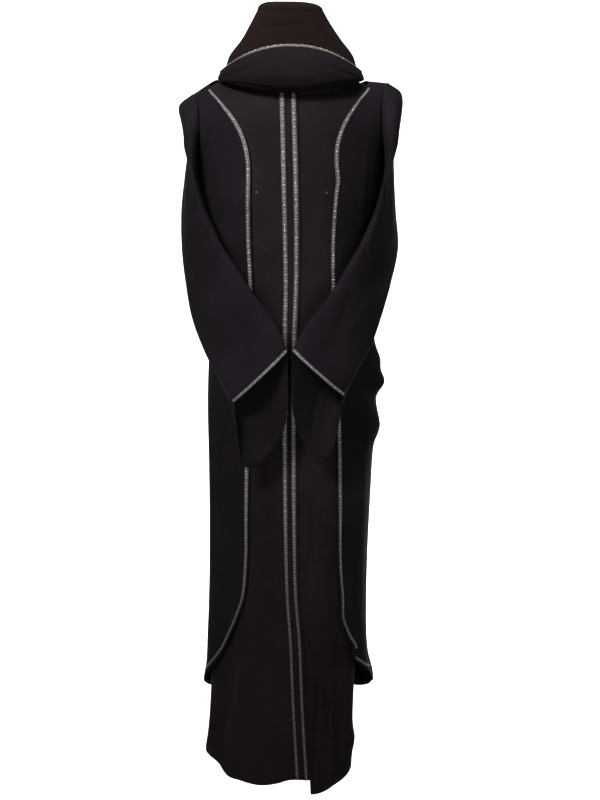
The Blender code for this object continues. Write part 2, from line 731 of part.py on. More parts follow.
def crown_section(turn, z):
    reach = {side: read(CROWN, side, z) for side in ("right", "left", "front", "back")}
    centre = (reach["left"] - reach["right"]) / 2
    half = (reach["left"] + reach["right"]) / 2
    deep = reach["front"] if math.cos(turn) > 0 else reach["back"]
    x = centre + half * power(math.sin(turn), 2 / HOOD_OVAL)
    return Vector((x, -deep * power(math.cos(turn), 2 / HOOD_OVAL), z))


def crown(turn, rise):
    """The hood's crown: rise runs from its lower edge, 0, up over its rounded top, 1."""
    facing = max(math.cos(turn), 0.0) ** CROWN_FACING
    base = neckline_point(turn)
    low = base.z + (CROWN_FRONT_Z - base.z) * facing
    level = CROWN[-1].z
    if rise <= CROWN_SIDES:
        z = low + (level - low) * (rise / CROWN_SIDES)
        point = crown_section(turn, z)
        sewn = (base - crown_section(turn, base.z)) * (1 - facing)
        return point + sewn * (1 - ease_in(rise / CROWN_SEAM_FADE))
    angle = (rise - CROWN_SIDES) / (1 - CROWN_SIDES) * math.pi / 2
    rim = crown_section(turn, level)
    middle = (crown_section(0.0, level) + crown_section(math.pi, level)) / 2
    flat = math.cos(angle) ** CROWN_ROUND
    top = level + (CROWN_TOP_Z - level) * math.sin(angle)
    return Vector((CROWN_TOP_X + (rim.x - CROWN_TOP_X) * flat, middle.y + (rim.y - middle.y) * flat, top))


def cowl_section(turn, share):
    value = {name: read(COWL, name, share) for name in Drape._fields[1:]}
    facing = max(math.cos(turn), 0.0)
    x = value["half_wide"] * power(math.sin(turn), 2 / HOOD_OVAL)
    y = -value["front"] * facing ** (2 / HOOD_OVAL)
    z = value["z_side"] + (value["z_front"] - value["z_side"]) * facing**2
    return Vector((x, y, z))


def cowl(turn, share):
    """The hood's draped front, from the neckline seam, 0, to its free edge, 1."""
    point = cowl_section(turn, share)
    if share < COWL_SEAM_FADE:
        seat = neckline_point(turn) - cowl_section(turn, 0.0)
        point = point + seat * (1 - ease_in(share / COWL_SEAM_FADE))
    return point


def hood(cloth, braid):
    turns = [k / HOOD_COLUMNS * 2 * math.pi for k in range(HOOD_COLUMNS)]
    grid = [[(turn, rise) for turn in turns] for rise in CROWN_RISES]
    crown_wall(crown, grid, cloth)
    turns = [COWL_END * (2 * k / COWL_COLUMNS - 1) for k in range(COWL_COLUMNS + 1)]
    grid = [[(turn, share) for turn in turns] for share in COWL_SHARES]
    wall("hood_front", cowl, grid, -WALL, 0.0, 1, cloth)
    wall("braid_hood", cowl, grid[-2:], SEAM_GAP, SEAM_GAP + BRAID_THICK, 1, braid)


def crown_wall(surface, grid, cloth):
    """The crown's wall is open below and closed at its top by one face on each side."""
    outer = offset_grid(surface, grid, 0.0, 1)
    inner = offset_grid(surface, grid, -WALL, 1)
    rows, columns = len(grid), len(grid[0])
    faces = wall_faces(rows, columns, True)
    last = (rows - 1) * columns
    inside = rows * columns
    rim = {last + c for c in range(columns)} | {inside + last + c for c in range(columns)}
    faces = [face for face in faces if not set(face) <= rim]
    faces.append(tuple(last + c for c in range(columns)))
    faces.append(tuple(inside + last + c for c in reversed(range(columns))))
    points = [point for line in outer + inner for point in line]
    add_object("hood", points, faces, cloth)


def main():
    for obj in list(bpy.data.objects):
        bpy.data.objects.remove(obj)
    empty = bpy.data.objects.new("kaftan", None)
    bpy.context.scene.collection.objects.link(empty)
    braid = braid_material()
    dress(cloth_material("black_dress_cloth", (0.012, 0.010, 0.011), 0.85), braid)
    black = cloth_material("black_coat_cloth", (0.010, 0.010, 0.013), 0.85)
    coat(black, braid)
    sleeves(black, braid)
    hood(cloth_material("black_hood_cloth", (0.013, 0.010, 0.010), 0.85), braid)


main()
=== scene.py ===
# %% [markdown]
# # A hooded kaftan in two layers
# This lesson dresses a measured model of a floor-length kaftan: a long black dress with a hood, an
# open coat with wide sleeves over it, and silver beaded braid along the edges.
# The measured model fixes every size. Here each plain wall of cloth is replaced by a finer, thinner
# shell with creases, and the braid gets its plait and its beads.

# %% Load the measured model
import math
from collections import namedtuple
from functools import partial

import bmesh
import bpy
import numpy as np
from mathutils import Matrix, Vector


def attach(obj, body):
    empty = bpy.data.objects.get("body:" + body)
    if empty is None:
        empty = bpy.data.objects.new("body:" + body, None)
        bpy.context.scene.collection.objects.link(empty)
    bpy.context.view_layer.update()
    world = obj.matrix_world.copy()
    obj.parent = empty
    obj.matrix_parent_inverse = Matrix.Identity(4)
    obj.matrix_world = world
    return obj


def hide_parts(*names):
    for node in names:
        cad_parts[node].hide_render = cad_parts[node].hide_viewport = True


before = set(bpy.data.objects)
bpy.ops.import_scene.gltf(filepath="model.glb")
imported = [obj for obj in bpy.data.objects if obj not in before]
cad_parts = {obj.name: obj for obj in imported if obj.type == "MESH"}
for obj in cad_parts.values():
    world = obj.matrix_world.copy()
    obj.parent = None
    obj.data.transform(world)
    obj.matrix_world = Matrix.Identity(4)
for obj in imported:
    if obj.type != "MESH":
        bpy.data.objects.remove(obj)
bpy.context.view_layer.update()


# %% [markdown]
# ## Small tools
# Four helpers save lines below: a table whose columns have names, a new object in the scene, a new
# material, and plain values for the inputs of a shader node.

# %% Tables, objects and materials
def rows(columns, *table):
    """A table with named columns, from rows of plain values."""
    Row = namedtuple("Row", columns)
    return [Row(*row) for row in table]


def add_object(name, data):
    thing = bpy.data.objects.new(name, data)
    bpy.context.scene.collection.objects.link(thing)
    return thing


def new_material(name):
    """A new material, its node tree and its shader."""
    material = bpy.data.materials.new(name)
    material.use_nodes = True
    return material, material.node_tree, material.node_tree.nodes["Principled BSDF"]


def settle_inputs(node, **values):
    """Plain values for a node's inputs; an underscore stands for a space in a label."""
    for label, value in values.items():
        node.inputs[label.replace("_", " ")].default_value = value


print("tools are ready")

# %% [markdown]
# ## Camera
# The photographer stood a good three metres away, a little above the shoulders, and looked down on the
# kaftan. A long lens keeps its sides almost parallel. The camera is set first.

# %% Camera
CAMERA_PLACE = (0.0176, -3.2, 0.12)
CAMERA_DOWN = math.radians(13.293)
CAMERA_LENS = 72.41
SENSOR_WIDE = 36.0

lens = bpy.data.cameras.new("camera")
lens.lens = CAMERA_LENS
lens.sensor_width = SENSOR_WIDE
camera = add_object("camera", lens)
camera.location = CAMERA_PLACE
camera.rotation_euler = (math.pi / 2 - CAMERA_DOWN, 0.0, 0.0)
bpy.context.scene.camera = camera
print("camera looks down by", round(math.degrees(CAMERA_DOWN), 1), "degrees")

# %% [markdown]
# ## Floor and light
# Black cloth shows its form only through the light that grazes it. A pale floor that curves up into
# a wall behind gives a plain white ground, and has a lamp of its own, high behind the kaftan. A key
# lamp high in front sends a narrow beam to the chest, so that the skirt falls off into the dark, and
# a weaker one from the other side keeps the shade open. A faint third one from below looks in under
# the cuffs.

# %% Floor that curves up behind
FLOOR_Z = -1.80
FLOOR_FRONT = -5.0
WALL_BEHIND = 3.4
CURVE_RADIUS = 1.6
WALL_TALL = 6.0
STAGE_HALF = 6.0
CURVE_STEPS = 12
STAGE_TONE = (0.88, 0.88, 0.88, 1.0)


def stage_profile():
    """The stage from its front edge along the floor, round the curve and up the wall."""
    line = [(FLOOR_FRONT, FLOOR_Z)]
    for k in range(CURVE_STEPS + 1):
        angle = math.radians(90 * k / CURVE_STEPS)
        y = WALL_BEHIND - CURVE_RADIUS + CURVE_RADIUS * math.sin(angle)
        line.append((y, FLOOR_Z + CURVE_RADIUS * (1 - math.cos(angle))))
    line.append((WALL_BEHIND, FLOOR_Z + WALL_TALL))
    return line


profile = stage_profile()
places = [(x, y, z) for x in (-STAGE_HALF, STAGE_HALF) for y, z in profile]
count = len(profile)
faces = [(k, k + 1, count + k + 1, count + k) for k in range(count - 1)]
stage_mesh = bpy.data.meshes.new("stage")
stage_mesh.from_pydata(places, [], faces)
stage_mesh.shade_smooth()
stage = add_object("stage", stage_mesh)
paint, _, shader = new_material("stage_paint")
settle_inputs(shader, Base_Color=STAGE_TONE, Roughness=0.9, Specular_IOR_Level=0.1)
stage_mesh.materials.append(paint)
print("stage faces:", len(faces))

# %% Sky and lamps
LAMPS = rows(
    "name place aim wide watts spread",
    ("key", (-1.3, -2.3, 1.9), (0.0, 0.0, -0.2), 0.9, 13.5, 36),
    ("fill", (1.4, -2.8, 0.6), (0.0, 0.0, -0.5), 1.6, 24.0, 180),
    ("lift", (0.1, -2.4, -1.2), (0.0, -0.16, -0.47), 0.6, 0.6, 20),
    ("ground", (0.0, 0.9, 2.6), (0.0, 2.9, -1.4), 2.6, 180.0, 100),
)
SKY = 0.27

world = bpy.data.worlds.new("sky")
world.use_nodes = True
settle_inputs(world.node_tree.nodes["Background"], Color=(1.0, 1.0, 1.0, 1.0), Strength=SKY)
bpy.context.scene.world = world
bpy.context.scene.view_settings.view_transform = "Standard"

for lamp in LAMPS:
    light = bpy.data.lights.new(lamp.name, "AREA")
    light.size = lamp.wide
    light.energy = lamp.watts
    light.spread = math.radians(lamp.spread)
    holder = add_object(lamp.name, light)
    holder.location = lamp.place
    way = Vector(lamp.aim) - Vector(lamp.place)
    holder.rotation_euler = way.to_track_quat("-Z", "Y").to_euler()
print("lamps:", [lamp.name for lamp in LAMPS])

# %% [markdown]
# ## The kaftan's sizes
# The sizes below are those of the measured model, in metres. Each row of a table is one level of
# the body, one ring of a sleeve or one line of the hood, and a smooth curve runs through the rows.
# Left and right are the wearer's: the right side lies towards -X, and the front faces -Y.

# %% Cloth, seams and body sizes
CLOTH_THICK = 0.0009
SEAM_GAP = 0.0003
SEAM_HALF = 0.00003
SEWN_LAP = 0.0005
BRAID_WIDTH = 0.010
PLACKET_MARGIN = 0.0085
PLACKET_OVERLAP = 0.030
PLACKET_LAP = 0.0030
STEP_INSIDE = 0.0025
STEP_OUTSIDE = 0.0015
LAP_START = math.radians(21)
LAP_FADE = math.radians(24)
OVAL = 2.3
HOOD_OVAL = 2.2
UNDERARM_Z = -0.172
SHOULDER_ROUND = 0.11
LAYER_STEP = 0.007
NECK_CURVE = 2.4
LEAST_TURN = 0.004

BODY = rows(
    "z right left front back",
    (-1.46, 0.187, 0.127, 0.142, 0.131), (-1.39, 0.185, 0.13, 0.14, 0.129),
    (-1.33, 0.178, 0.131, 0.138, 0.127), (-1.25, 0.172, 0.134, 0.134, 0.125),
    (-1.13, 0.165, 0.141, 0.129, 0.122), (-0.98, 0.164, 0.146, 0.125, 0.12),
    (-0.78, 0.164, 0.157, 0.121, 0.122), (-0.62, 0.165, 0.165, 0.118, 0.121),
    (-0.5, 0.16, 0.161, 0.113, 0.106), (-0.4, 0.153, 0.153, 0.109, 0.093),
    (-0.3, 0.162, 0.162, 0.118, 0.097), (-0.215, 0.173, 0.173, 0.13, 0.106),
    (-0.172, 0.178, 0.178, 0.126, 0.11), (-0.1, 0.19, 0.188, 0.112, 0.11),
    (-0.04, 0.2, 0.196, 0.104, 0.104), (0.05, 0.205, 0.2, 0.098, 0.098),
)
COAT_EASE = rows(
    "z right left front back",
    (-1.3, 0.02, 0.046, 0.011, 0.014), (-1.245, 0.02, 0.043, 0.011, 0.014),
    (-1.2, 0.0135, 0.029, 0.01, 0.012), (-1.13, 0.012, 0.018, 0.009, 0.011),
    (-0.98, 0.006, 0.012, 0.006, 0.008), (-0.62, 0.005, 0.008, 0.005, 0.006),
    (-0.3, 0.005, 0.005, 0.005, 0.005), (0.05, 0.005, 0.005, 0.005, 0.005),
)
print("body levels:", len(BODY), "coat levels:", len(COAT_EASE))

# %% Shoulders, hems, necklines and edges
SHOULDER = rows(
    "x z",
    (-0.23, -0.047), (-0.19, -0.021), (-0.147, 0.006), (-0.08, 0.03), (0.0, 0.04), (0.08, 0.031),
    (0.14, 0.006), (0.19, -0.001), (0.23, -0.015),
)
RIGHT_FRONT_HEM = rows(
    "x z",
    (-0.187, -1.38), (-0.168, -1.389), (-0.152, -1.4), (-0.145, -1.412), (-0.106, -1.4175),
    (-0.063, -1.424), (-0.025, -1.418), (-0.007, -1.4125), (0.04, -1.4155),
)
LEFT_FRONT_HEM = rows(
    "x z",
    (0.0, -1.408), (0.037, -1.41), (0.0374, -1.41), (0.0396, -1.449), (0.04, -1.449),
    (0.054, -1.4495), (0.089, -1.4455), (0.108, -1.4385), (0.127, -1.421),
)
BACK_HEM = rows("x z", (-0.187, -1.38), (-0.1, -1.41), (0.0, -1.418), (0.13, -1.418))
COAT_FRONT_HEM = rows("x z", (-0.2, -1.222), (0.0, -1.24), (0.2, -1.221))
COAT_BACK_HEM = rows(
    "x z",
    (-0.191, -1.262), (-0.178, -1.289), (-0.12, -1.296), (0.0, -1.304), (0.1, -1.294),
    (0.163, -1.287), (0.174, -1.262),
)
DRESS_NECK = {"half": 0.128, "front": -0.012, "back": -0.018}
COAT_NECK = {"half": 0.146, "back": -0.034}

ARMHOLE = rows(
    "rise share",
    (0.0, 1.0), (0.15, 0.96), (0.35, 0.895), (0.6, 0.875), (0.8, 0.895), (1.0, 0.935),
)
CENTRE_BRAIDS = rows(
    "z right left",
    (-1.43, 0.013, 0.031), (-1.24, 0.003, 0.021), (-1.11, -0.002, 0.016), (-1.02, -0.008, 0.009),
    (-0.9, -0.011, 0.006), (-0.5, -0.012, 0.006), (-0.37, -0.01, 0.01), (-0.215, -0.0125, 0.01),
    (-0.02, -0.017, 0.005),
)
COAT_EDGES = rows(
    "z right left",
    (-1.245, -0.186, 0.168), (-1.213, -0.1745, 0.164), (-1.18, -0.1595, 0.14),
    (-1.158, -0.1495, 0.1265), (-1.137, -0.14, 0.127), (-1.116, -0.131, 0.1185),
    (-1.07, -0.11, 0.104), (-1.025, -0.094, 0.1025), (-0.96, -0.0865, 0.097),
    (-0.82, -0.084, 0.0945), (-0.6, -0.08, 0.088), (-0.4, -0.0735, 0.078), (-0.3, -0.0765, 0.0765),
    (-0.215, -0.077, 0.081), (-0.177, -0.076, 0.085), (-0.139, -0.077, 0.082),
    (-0.102, -0.085, 0.086), (-0.065, -0.103, 0.101), (-0.029, -0.133, 0.126),
    (-0.008, -0.154, 0.145), (0.02, -0.17, 0.156),
)
print("edge rows:", len(CENTRE_BRAIDS), len(COAT_EDGES))

# %% Folds of the skirt and humps over the hip
FOLD_TOP_Z = -0.45
FOLD_GROWS = 0.6
FOLD_DEEP = 0.0045
FOLD_COUNT = 8
FOLD_DRIFT = 2.4
FLAT_FRONT = math.radians(26)
HUMP_COLUMNS = "z height half_tall degrees"
HIP_HUMPS = rows(
    HUMP_COLUMNS,
    (-0.55, 0.011, 0.024, 80), (-0.592, 0.018, 0.021, 80), (-0.686, 0.012, 0.03, 80),
)
HEM_HUMPS = rows(HUMP_COLUMNS, (-1.362, 0.007, 0.018, 88))
HUMP_WIDE = math.radians(24)
print("upright folds:", FOLD_COUNT)

# %% [markdown]
# ## Reading the sizes
# `read` draws a smooth curve through one column of a table and gives its value anywhere between
# the rows. It works on whole arrays of numbers at once, so a surface of thousands of points takes
# a moment. Everything after it is built from such curves.

# %% Curves through the tables
def read(table, name, at):
    """A column's values at places between the table's rows, on a smooth curve through them."""
    keys = np.array([row[0] for row in table])
    values = np.array([getattr(row, name) for row in table])
    at = np.clip(np.asarray(at, dtype=float), keys[0], keys[-1])
    k = np.clip(np.searchsorted(keys, at, side="right") - 1, 0, len(keys) - 2)
    steps = np.diff(values) / np.diff(keys)
    slopes = np.concatenate([steps[:1], (steps[:-1] + steps[1:]) / 2, steps[-1:]])
    wide = keys[k + 1] - keys[k]
    s = (at - keys[k]) / wide
    plain = values[k] + s * s * (3 - 2 * s) * (values[k + 1] - values[k])
    return plain + s * (s - 1) * wide * ((s - 1) * slopes[k] + s * slopes[k + 1])


def ease_in(share):
    share = np.clip(share, 0.0, 1.0)
    return share * share * (3 - 2 * share)


def power(value, exponent):
    return np.copysign(np.abs(value) ** exponent, value)


print("half a metre down, the body is", round(float(read(BODY, "right", -0.5)), 3), "m to the right")

# %% [markdown]
# ## Creases listed one by one
# Worn cloth is never smooth: it drags from the bust and the underarm, folds across the waist and
# falls in long soft ridges below. Each crease is a line on the cloth, from one place to another,
# that stands out or sinks in by a few millimetres, with its own width and a slight bend. The ends
# fade away. They are uneven on purpose, in length, depth and spacing.

# %% A crease as a soft line
CREASE_COLUMNS = "across along across_end along_end out wide bend"
CREASE_DEPTH = 1.45
CREASE_WIDTH = 0.85
CREASE_ENDS = 0.3


def creases(place, *table):
    """Creases from rows with a start and an end, and with out, wide and bend in millimetres."""
    made = []
    for row in rows(CREASE_COLUMNS, *table):
        ends = (*place(row.across, row.along), *place(row.across_end, row.along_end))
        out = CREASE_DEPTH * row.out / 1000
        made.append((*ends, out, CREASE_WIDTH * row.wide / 1000, row.bend / 1000))
    return rows(CREASE_COLUMNS, *made)


def crease_heights(table, across, along):
    """How far the cloth stands out at places given in metres across and along it."""
    out = np.zeros(np.broadcast(across, along).shape)
    for crease in table:
        run_across = crease.across_end - crease.across
        run_along = crease.along_end - crease.along
        length = math.hypot(run_across, run_along)
        from_across = across - crease.across
        from_along = along - crease.along
        share = (from_across * run_across + from_along * run_along) / length**2
        side = (from_along * run_across - from_across * run_along) / length
        side = side - crease.bend * 4 * share * (1 - share)
        ends = ease_in(share / CREASE_ENDS) * ease_in((1 - share) / CREASE_ENDS)
        out = out + crease.out * np.exp(-((side / crease.wide) ** 2)) * ends
    return out


print("a crease has", len(CREASE_COLUMNS.split()), "values")

# %% Creases of the body, by turn in degrees and height
GIRTH_RADIUS = 0.15


def on_body(degrees, z):
    """A place in metres round the body and up: 0 degrees in front, 90 at the wearer's left."""
    return math.radians(degrees) * GIRTH_RADIUS, z


SHARED_CREASES = creases(
    on_body,
    (150, -0.16, 163, -0.50, -2.6, 13, 6),
    (207, -0.14, 192, -0.47, -3.2, 15, -8),
    (178, -0.36, 181, -1.25, 3.6, 27, 6),
    (141, -0.55, 133, -1.26, -3.8, 21, -6),
    (221, -0.60, 229, -1.24, -3.4, 19, 9),
    (160, -0.62, 153, -1.26, 3.4, 23, 4),
    (203, -0.72, 208, -1.26, 3.0, 20, -5),
    (122, -0.385, 168, -0.425, -2.6, 9, 7),
    (238, -0.375, 193, -0.405, -2.3, 8, -6),
    (130, -0.445, 158, -0.46, -1.8, 7, -4),
    (74, -0.20, 100, -0.35, -2.4, 9, 5),
    (-76, -0.21, -104, -0.33, -2.2, 8, -5),
    (62, -0.30, 92, -0.42, 1.6, 9, 4),
    (-60, -0.28, -90, -0.44, 1.8, 10, -6),
    (104, -0.70, 108, -1.22, 3.0, 19, 5),
    (-112, -0.78, -106, -1.20, -2.8, 17, 4),
    (118, -0.80, 124, -1.25, -2.2, 14, -5),
    (-136, -0.66, -140, -1.25, 2.6, 17, -4),
)
COAT_CREASES = creases(
    on_body,
    (57, -0.62, 50, -1.10, 2.2, 15, 5),
    (-60, -0.66, -53, -1.14, 2.6, 17, -6),
    (-40, -0.70, -41, -1.05, 2.0, 9, 3),
    (70, -0.74, 66, -1.16, -1.4, 11, 4),
    (-74, -0.60, -70, -1.00, 1.8, 11, 4),
    (38, -0.345, 74, -0.395, -1.4, 7, 5),
    (-40, -0.34, -78, -0.385, -1.4, 8, -5),
    (48, -0.12, 52, -0.28, 1.4, 8, -4),
    (-50, -0.11, -46, -0.26, 1.5, 9, 4),
    (64, -0.66, 96, -0.625, -1.4, 7, 3),
)
DRESS_CREASES = creases(
    on_body,
    (-14, -1.02, -18, -1.41, -2.8, 15, 4),
    (-29, -1.10, -34, -1.42, 3.4, 19, -5),
    (-48, -1.20, -55, -1.41, -3.0, 14, 3),
    (-66, -1.26, -72, -1.41, 2.4, 12, 4),
    (25, -1.17, 25.5, -1.46, -4.0, 6, 0),
    (35, -1.12, 38, -1.45, 2.4, 10, 3),
    (44, -1.12, 50, -1.44, -2.8, 13, -4),
    (62, -1.22, 70, -1.43, 2.2, 12, 3),
    (-4.5, -1.275, -5.5, -1.335, 1.8, 3.5, 0),
    (-12, -0.60, -16, -1.00, 1.6, 12, 4),
    (16, -0.66, 19, -1.02, -1.5, 11, -4),
    (-22, -0.335, -8, -0.375, -1.3, 6, 4),
    (10, -0.37, 25, -0.345, -1.2, 6, 4),
    (-22, -0.165, -16, -0.30, 1.3, 8, 3),
    (20, -0.175, 17, -0.32, 1.2, 8, -3),
)
print("body creases:", len(SHARED_CREASES) + len(COAT_CREASES) + len(DRESS_CREASES))

# %% [markdown]
# ## The body's surface
# A level of the body lies between an ellipse and a box. `torso` gives a point of the dress or of
# the coat by its turn round the body and by its drop: 0 on the shoulder line, 1 at the full chest,
# and on down to the hem. Both layers read the same tables, so the coat always clears the dress.

# %% Levels, shoulder line and height
SIDES = ("right", "left", "front", "back")


def section(layer, z):
    """Centre, half width, front and back reach of a layer at each height."""
    ease = [read(COAT_EASE, side, z) if layer == "coat" else 0.0 for side in SIDES]
    right, left, front, back = [read(BODY, side, z) + more for side, more in zip(SIDES, ease)]
    return (left - right) / 2, (left + right) / 2, front, back


def shoulder_z(layer, x):
    return read(SHOULDER, "z", x) - (0.0 if layer == "coat" else LAYER_STEP)


def height_below(drop):
    rounded = SHOULDER_ROUND * (1 - np.cos(np.abs(np.minimum(drop, 1.0)) * np.pi / 2))
    return np.where(drop < 1, rounded, SHOULDER_ROUND * (1 + (drop - 1) * np.pi / 2))


def drop_at(below):
    rounded = np.arccos(np.clip(1 - np.maximum(below, 0.0) / SHOULDER_ROUND, -1, 1)) * 2 / np.pi
    return np.where(below < SHOULDER_ROUND, rounded, 1 + (below / SHOULDER_ROUND - 1) * 2 / np.pi)


print("the chest is full", SHOULDER_ROUND, "m below the shoulder line")

# %% Folds, humps and creases of a layer
TORSO_ROUNDS = 6


def folds(layer, turn, z):
    """How far the cloth stands out in its upright folds, its humps and its creases."""
    around = (turn + np.pi / 2) % (2 * np.pi) - np.pi / 2
    front_turn = np.where(around > np.pi, around - 2 * np.pi, around)
    grown = ease_in((FOLD_TOP_Z - z) / FOLD_GROWS)
    away = 1 - np.exp(-((turn / FLAT_FRONT) ** 2))
    out = FOLD_DEEP * grown * away * np.cos(FOLD_COUNT * turn + FOLD_DRIFT * z)
    for hump in HIP_HUMPS if layer == "coat" else HEM_HUMPS:
        tall = np.exp(-(((z - hump.z) / hump.half_tall) ** 2))
        wide = np.exp(-(((turn - math.radians(hump.degrees)) / HUMP_WIDE) ** 2))
        out = out + hump.height * tall * wide
    own = COAT_CREASES if layer == "coat" else DRESS_CREASES
    out = out + crease_heights(own, front_turn * GIRTH_RADIUS, z)
    for shift in (0.0, 2 * np.pi, -2 * np.pi):
        out = out + crease_heights(SHARED_CREASES, (around + shift) * GIRTH_RADIUS, z)
    return out


def torso(layer, turn, drop):
    """Points on a layer's outer face."""
    turn, drop = np.broadcast_arrays(np.asarray(turn, float), np.asarray(drop, float))
    below = height_below(drop)
    x = np.zeros(turn.shape)
    for _ in range(TORSO_ROUNDS):
        z = shoulder_z(layer, x) - below
        centre, half, front, back = section(layer, z)
        x = centre + half * power(np.sin(turn), 2 / OVAL)
    rounding = np.sin(np.clip(drop, -1.0, 1.0) * np.pi / 2)
    deep = np.where(np.cos(turn) > 0, front, back)
    y = -deep * power(np.cos(turn), 2 / OVAL) * rounding
    out = folds(layer, turn, z) * rounding
    return np.stack([x + out * np.sin(turn), y - out * np.cos(turn), z], axis=-1)


SURFACES = {layer: partial(torso, layer) for layer in ("dress", "coat")}
print("front of the dress at the bust:", torso("dress", 0.0, 1.6).round(3))

# %% [markdown]
# ## Panels and their edges
# A panel is cut along lines: a side seam, an armhole, a neckline, a front edge. Each line gives the
# turn at any height, and `settle` finds where a row of the panel meets it. The rows run from the
# hem up to the shoulder line, so a hem or a neckline is just the first or the last row.

# %% Lines of a panel
SETTLE_ROUNDS = 8


def turn_at(layer, x, z, behind=False):
    centre, half, _, _ = section(layer, z)
    share = np.clip((x - centre) / half, -1.0, 1.0)
    turn = np.arcsin(power(share, OVAL / 2))
    return np.copysign(np.pi, turn) - turn if behind else turn


def plain_x(layer, turn, z):
    centre, half, _, _ = section(layer, z)
    return centre + half * power(np.sin(turn), 2 / OVAL)


def neck_z(layer, x, behind):
    """The height of a panel's top edge: the shoulder line, or the neckline between its ends."""
    neck = COAT_NECK if layer == "coat" else DRESS_NECK
    if "front" not in neck and not behind:
        return shoulder_z(layer, x)
    end = shoulder_z(layer, np.copysign(neck["half"], x))
    middle = neck["back" if behind else "front"]
    curved = middle + (end - middle) * (np.abs(x) / neck["half"]) ** NECK_CURVE
    return np.where(np.abs(x) >= neck["half"], shoulder_z(layer, x), curved)


def row_z(layer, rise, x, hem, behind):
    """The height of a row at x: rise is 0 at the hem, 1 at the underarm and 2 at the top edge."""
    low = read(hem, "z", x)
    high = neck_z(layer, x, behind)
    skirt = low + (UNDERARM_Z - low) * rise
    chest = high - (high - UNDERARM_Z) * (1 - np.cos((2 - rise) * np.pi / 2))
    return np.where(rise < 1, skirt, chest)


def settle(layer, rise, hem, behind, turn_of):
    """The turn and height where rows of a panel meet a line that is given by height."""
    z = np.full(np.shape(rise), UNDERARM_Z)
    for _ in range(SETTLE_ROUNDS):
        turn = turn_of(z, rise)
        z = row_z(layer, rise, plain_x(layer, turn, z), hem, behind)
    return turn, z


def side_line(layer, side, behind):
    """The panel's outer edge: the side seam, and the armhole above it."""

    def line(z, rise):
        centre, half, _, _ = section(layer, z)
        cut = read(ARMHOLE, "share", rise - 1)
        armhole = turn_at(layer, centre + side * half * cut, z, behind)
        return np.where(rise <= 1, side * np.pi / 2, armhole)

    return line


def level_line(layer, place):
    return lambda z, rise: turn_at(layer, place(z), z)


def drop_of(layer, turn, z):
    """How far below the shoulder line a place given by its turn and height is."""
    return drop_at(shoulder_z(layer, plain_x(layer, turn, z)) - z)


def neck_corner(layer, side, behind=False):
    """The turn where the neckline meets the shoulder line, kept all the way down the panel."""
    x = side * (COAT_NECK if layer == "coat" else DRESS_NECK)["half"]
    corner = turn_at(layer, x, shoulder_z(layer, x), behind)
    return lambda z, rise: np.full(np.shape(z), float(corner))


print("the dress's neck corner lies at", round(math.degrees(neck_corner("dress", 1)(0.0, 0.0)), 1))

# %% The grid of a panel
SKIRT_ROWS = 170
CHEST_ROWS = 34
skirt_rises = np.arange(SKIRT_ROWS) / SKIRT_ROWS
RISES = np.concatenate([skirt_rises, 1 + np.arange(CHEST_ROWS + 1) / CHEST_ROWS])


def keep_apart(turns, counts):
    """The turns of a panel's lines, spread a little where they would meet at its side seam."""
    turns = list(turns)
    if abs(turns[0][0]) > abs(turns[-1][0]):
        for k, count in enumerate(counts):
            turns[k + 1] = np.maximum(turns[k + 1], turns[k] + LEAST_TURN * count)
    else:
        for k in reversed(range(len(counts))):
            turns[k] = np.minimum(turns[k], turns[k + 1] - LEAST_TURN * counts[k])
    return turns


def panel_grid(layer, hem, behind, lines, counts, finer):
    """The turn and drop of each point of a panel; finer is how many columns one measured one gets."""
    turns = [settle(layer, RISES, hem, behind, line)[0] for line in lines]
    if behind:
        turns = [np.where(turn < 0, turn + 2 * np.pi, turn) for turn in turns]
    else:
        turns = keep_apart(turns, counts)
    columns = [turns[0]]
    for k, count in enumerate(counts):
        steps = count * finer
        columns += [turns[k] + (turns[k + 1] - turns[k]) * (i + 1) / steps for i in range(steps)]
    turn = np.stack(columns, axis=1)
    rise = np.repeat(RISES[:, None], turn.shape[1], axis=1)
    z = settle(layer, rise, hem, behind, lambda z, rise: turn)[1]
    return turn, drop_of(layer, turn, z)


print("rows in a panel:", len(RISES))

# %% [markdown]
# ## From a grid to a piece of cloth
# A grid of points becomes a mesh of quads. Its faces are turned outwards, and a Solidify modifier
# gives the cloth its real thickness, closes its edges and leaves the outer face where it was.
# Each piece then rides on the kaftan's one body, and replaces the plain wall that it stands for.

# %% Normals, grids and shells
TINY_STEP = 1e-4


def outward(surface, u, v, flip):
    """The surface's normals; flip is 1 or -1, so that they point out of the garment."""
    along_u = surface(u + TINY_STEP, v) - surface(u - TINY_STEP, v)
    along_v = surface(u, v + TINY_STEP) - surface(u, v - TINY_STEP)
    normal = np.cross(along_u, along_v)
    return normal / np.maximum(np.linalg.norm(normal, axis=-1, keepdims=True), 1e-12) * flip


def grid_faces(count, columns, ring):
    around = columns if ring else columns - 1
    r, c = np.meshgrid(np.arange(count - 1), np.arange(around), indexing="ij")
    a = r * columns + c
    b = r * columns + (c + 1) % columns
    return np.stack([a, b, b + columns, a + columns], axis=-1).reshape(-1, 4)


def new_piece(name, points, faces, material):
    mesh = bpy.data.meshes.new(name)
    faces = faces if isinstance(faces, list) else faces.tolist()
    mesh.from_pydata(points.reshape(-1, 3).tolist(), [], faces)
    mesh.materials.append(material)
    mesh.shade_smooth()
    return add_object(name, mesh)


def thickened(piece, normals):
    """Turn the piece's faces outwards and give it the thickness of cloth, on the inside."""
    mesh = piece.data
    first = mesh.polygons[len(mesh.polygons) // 2]
    wanted = normals.reshape(-1, 3)[first.vertices[0]]
    if np.dot(wanted, first.normal) < 0:
        mesh.flip_normals()
    thick = piece.modifiers.new("cloth thickness", "SOLIDIFY")
    thick.thickness = CLOTH_THICK
    thick.offset = -1.0
    return piece


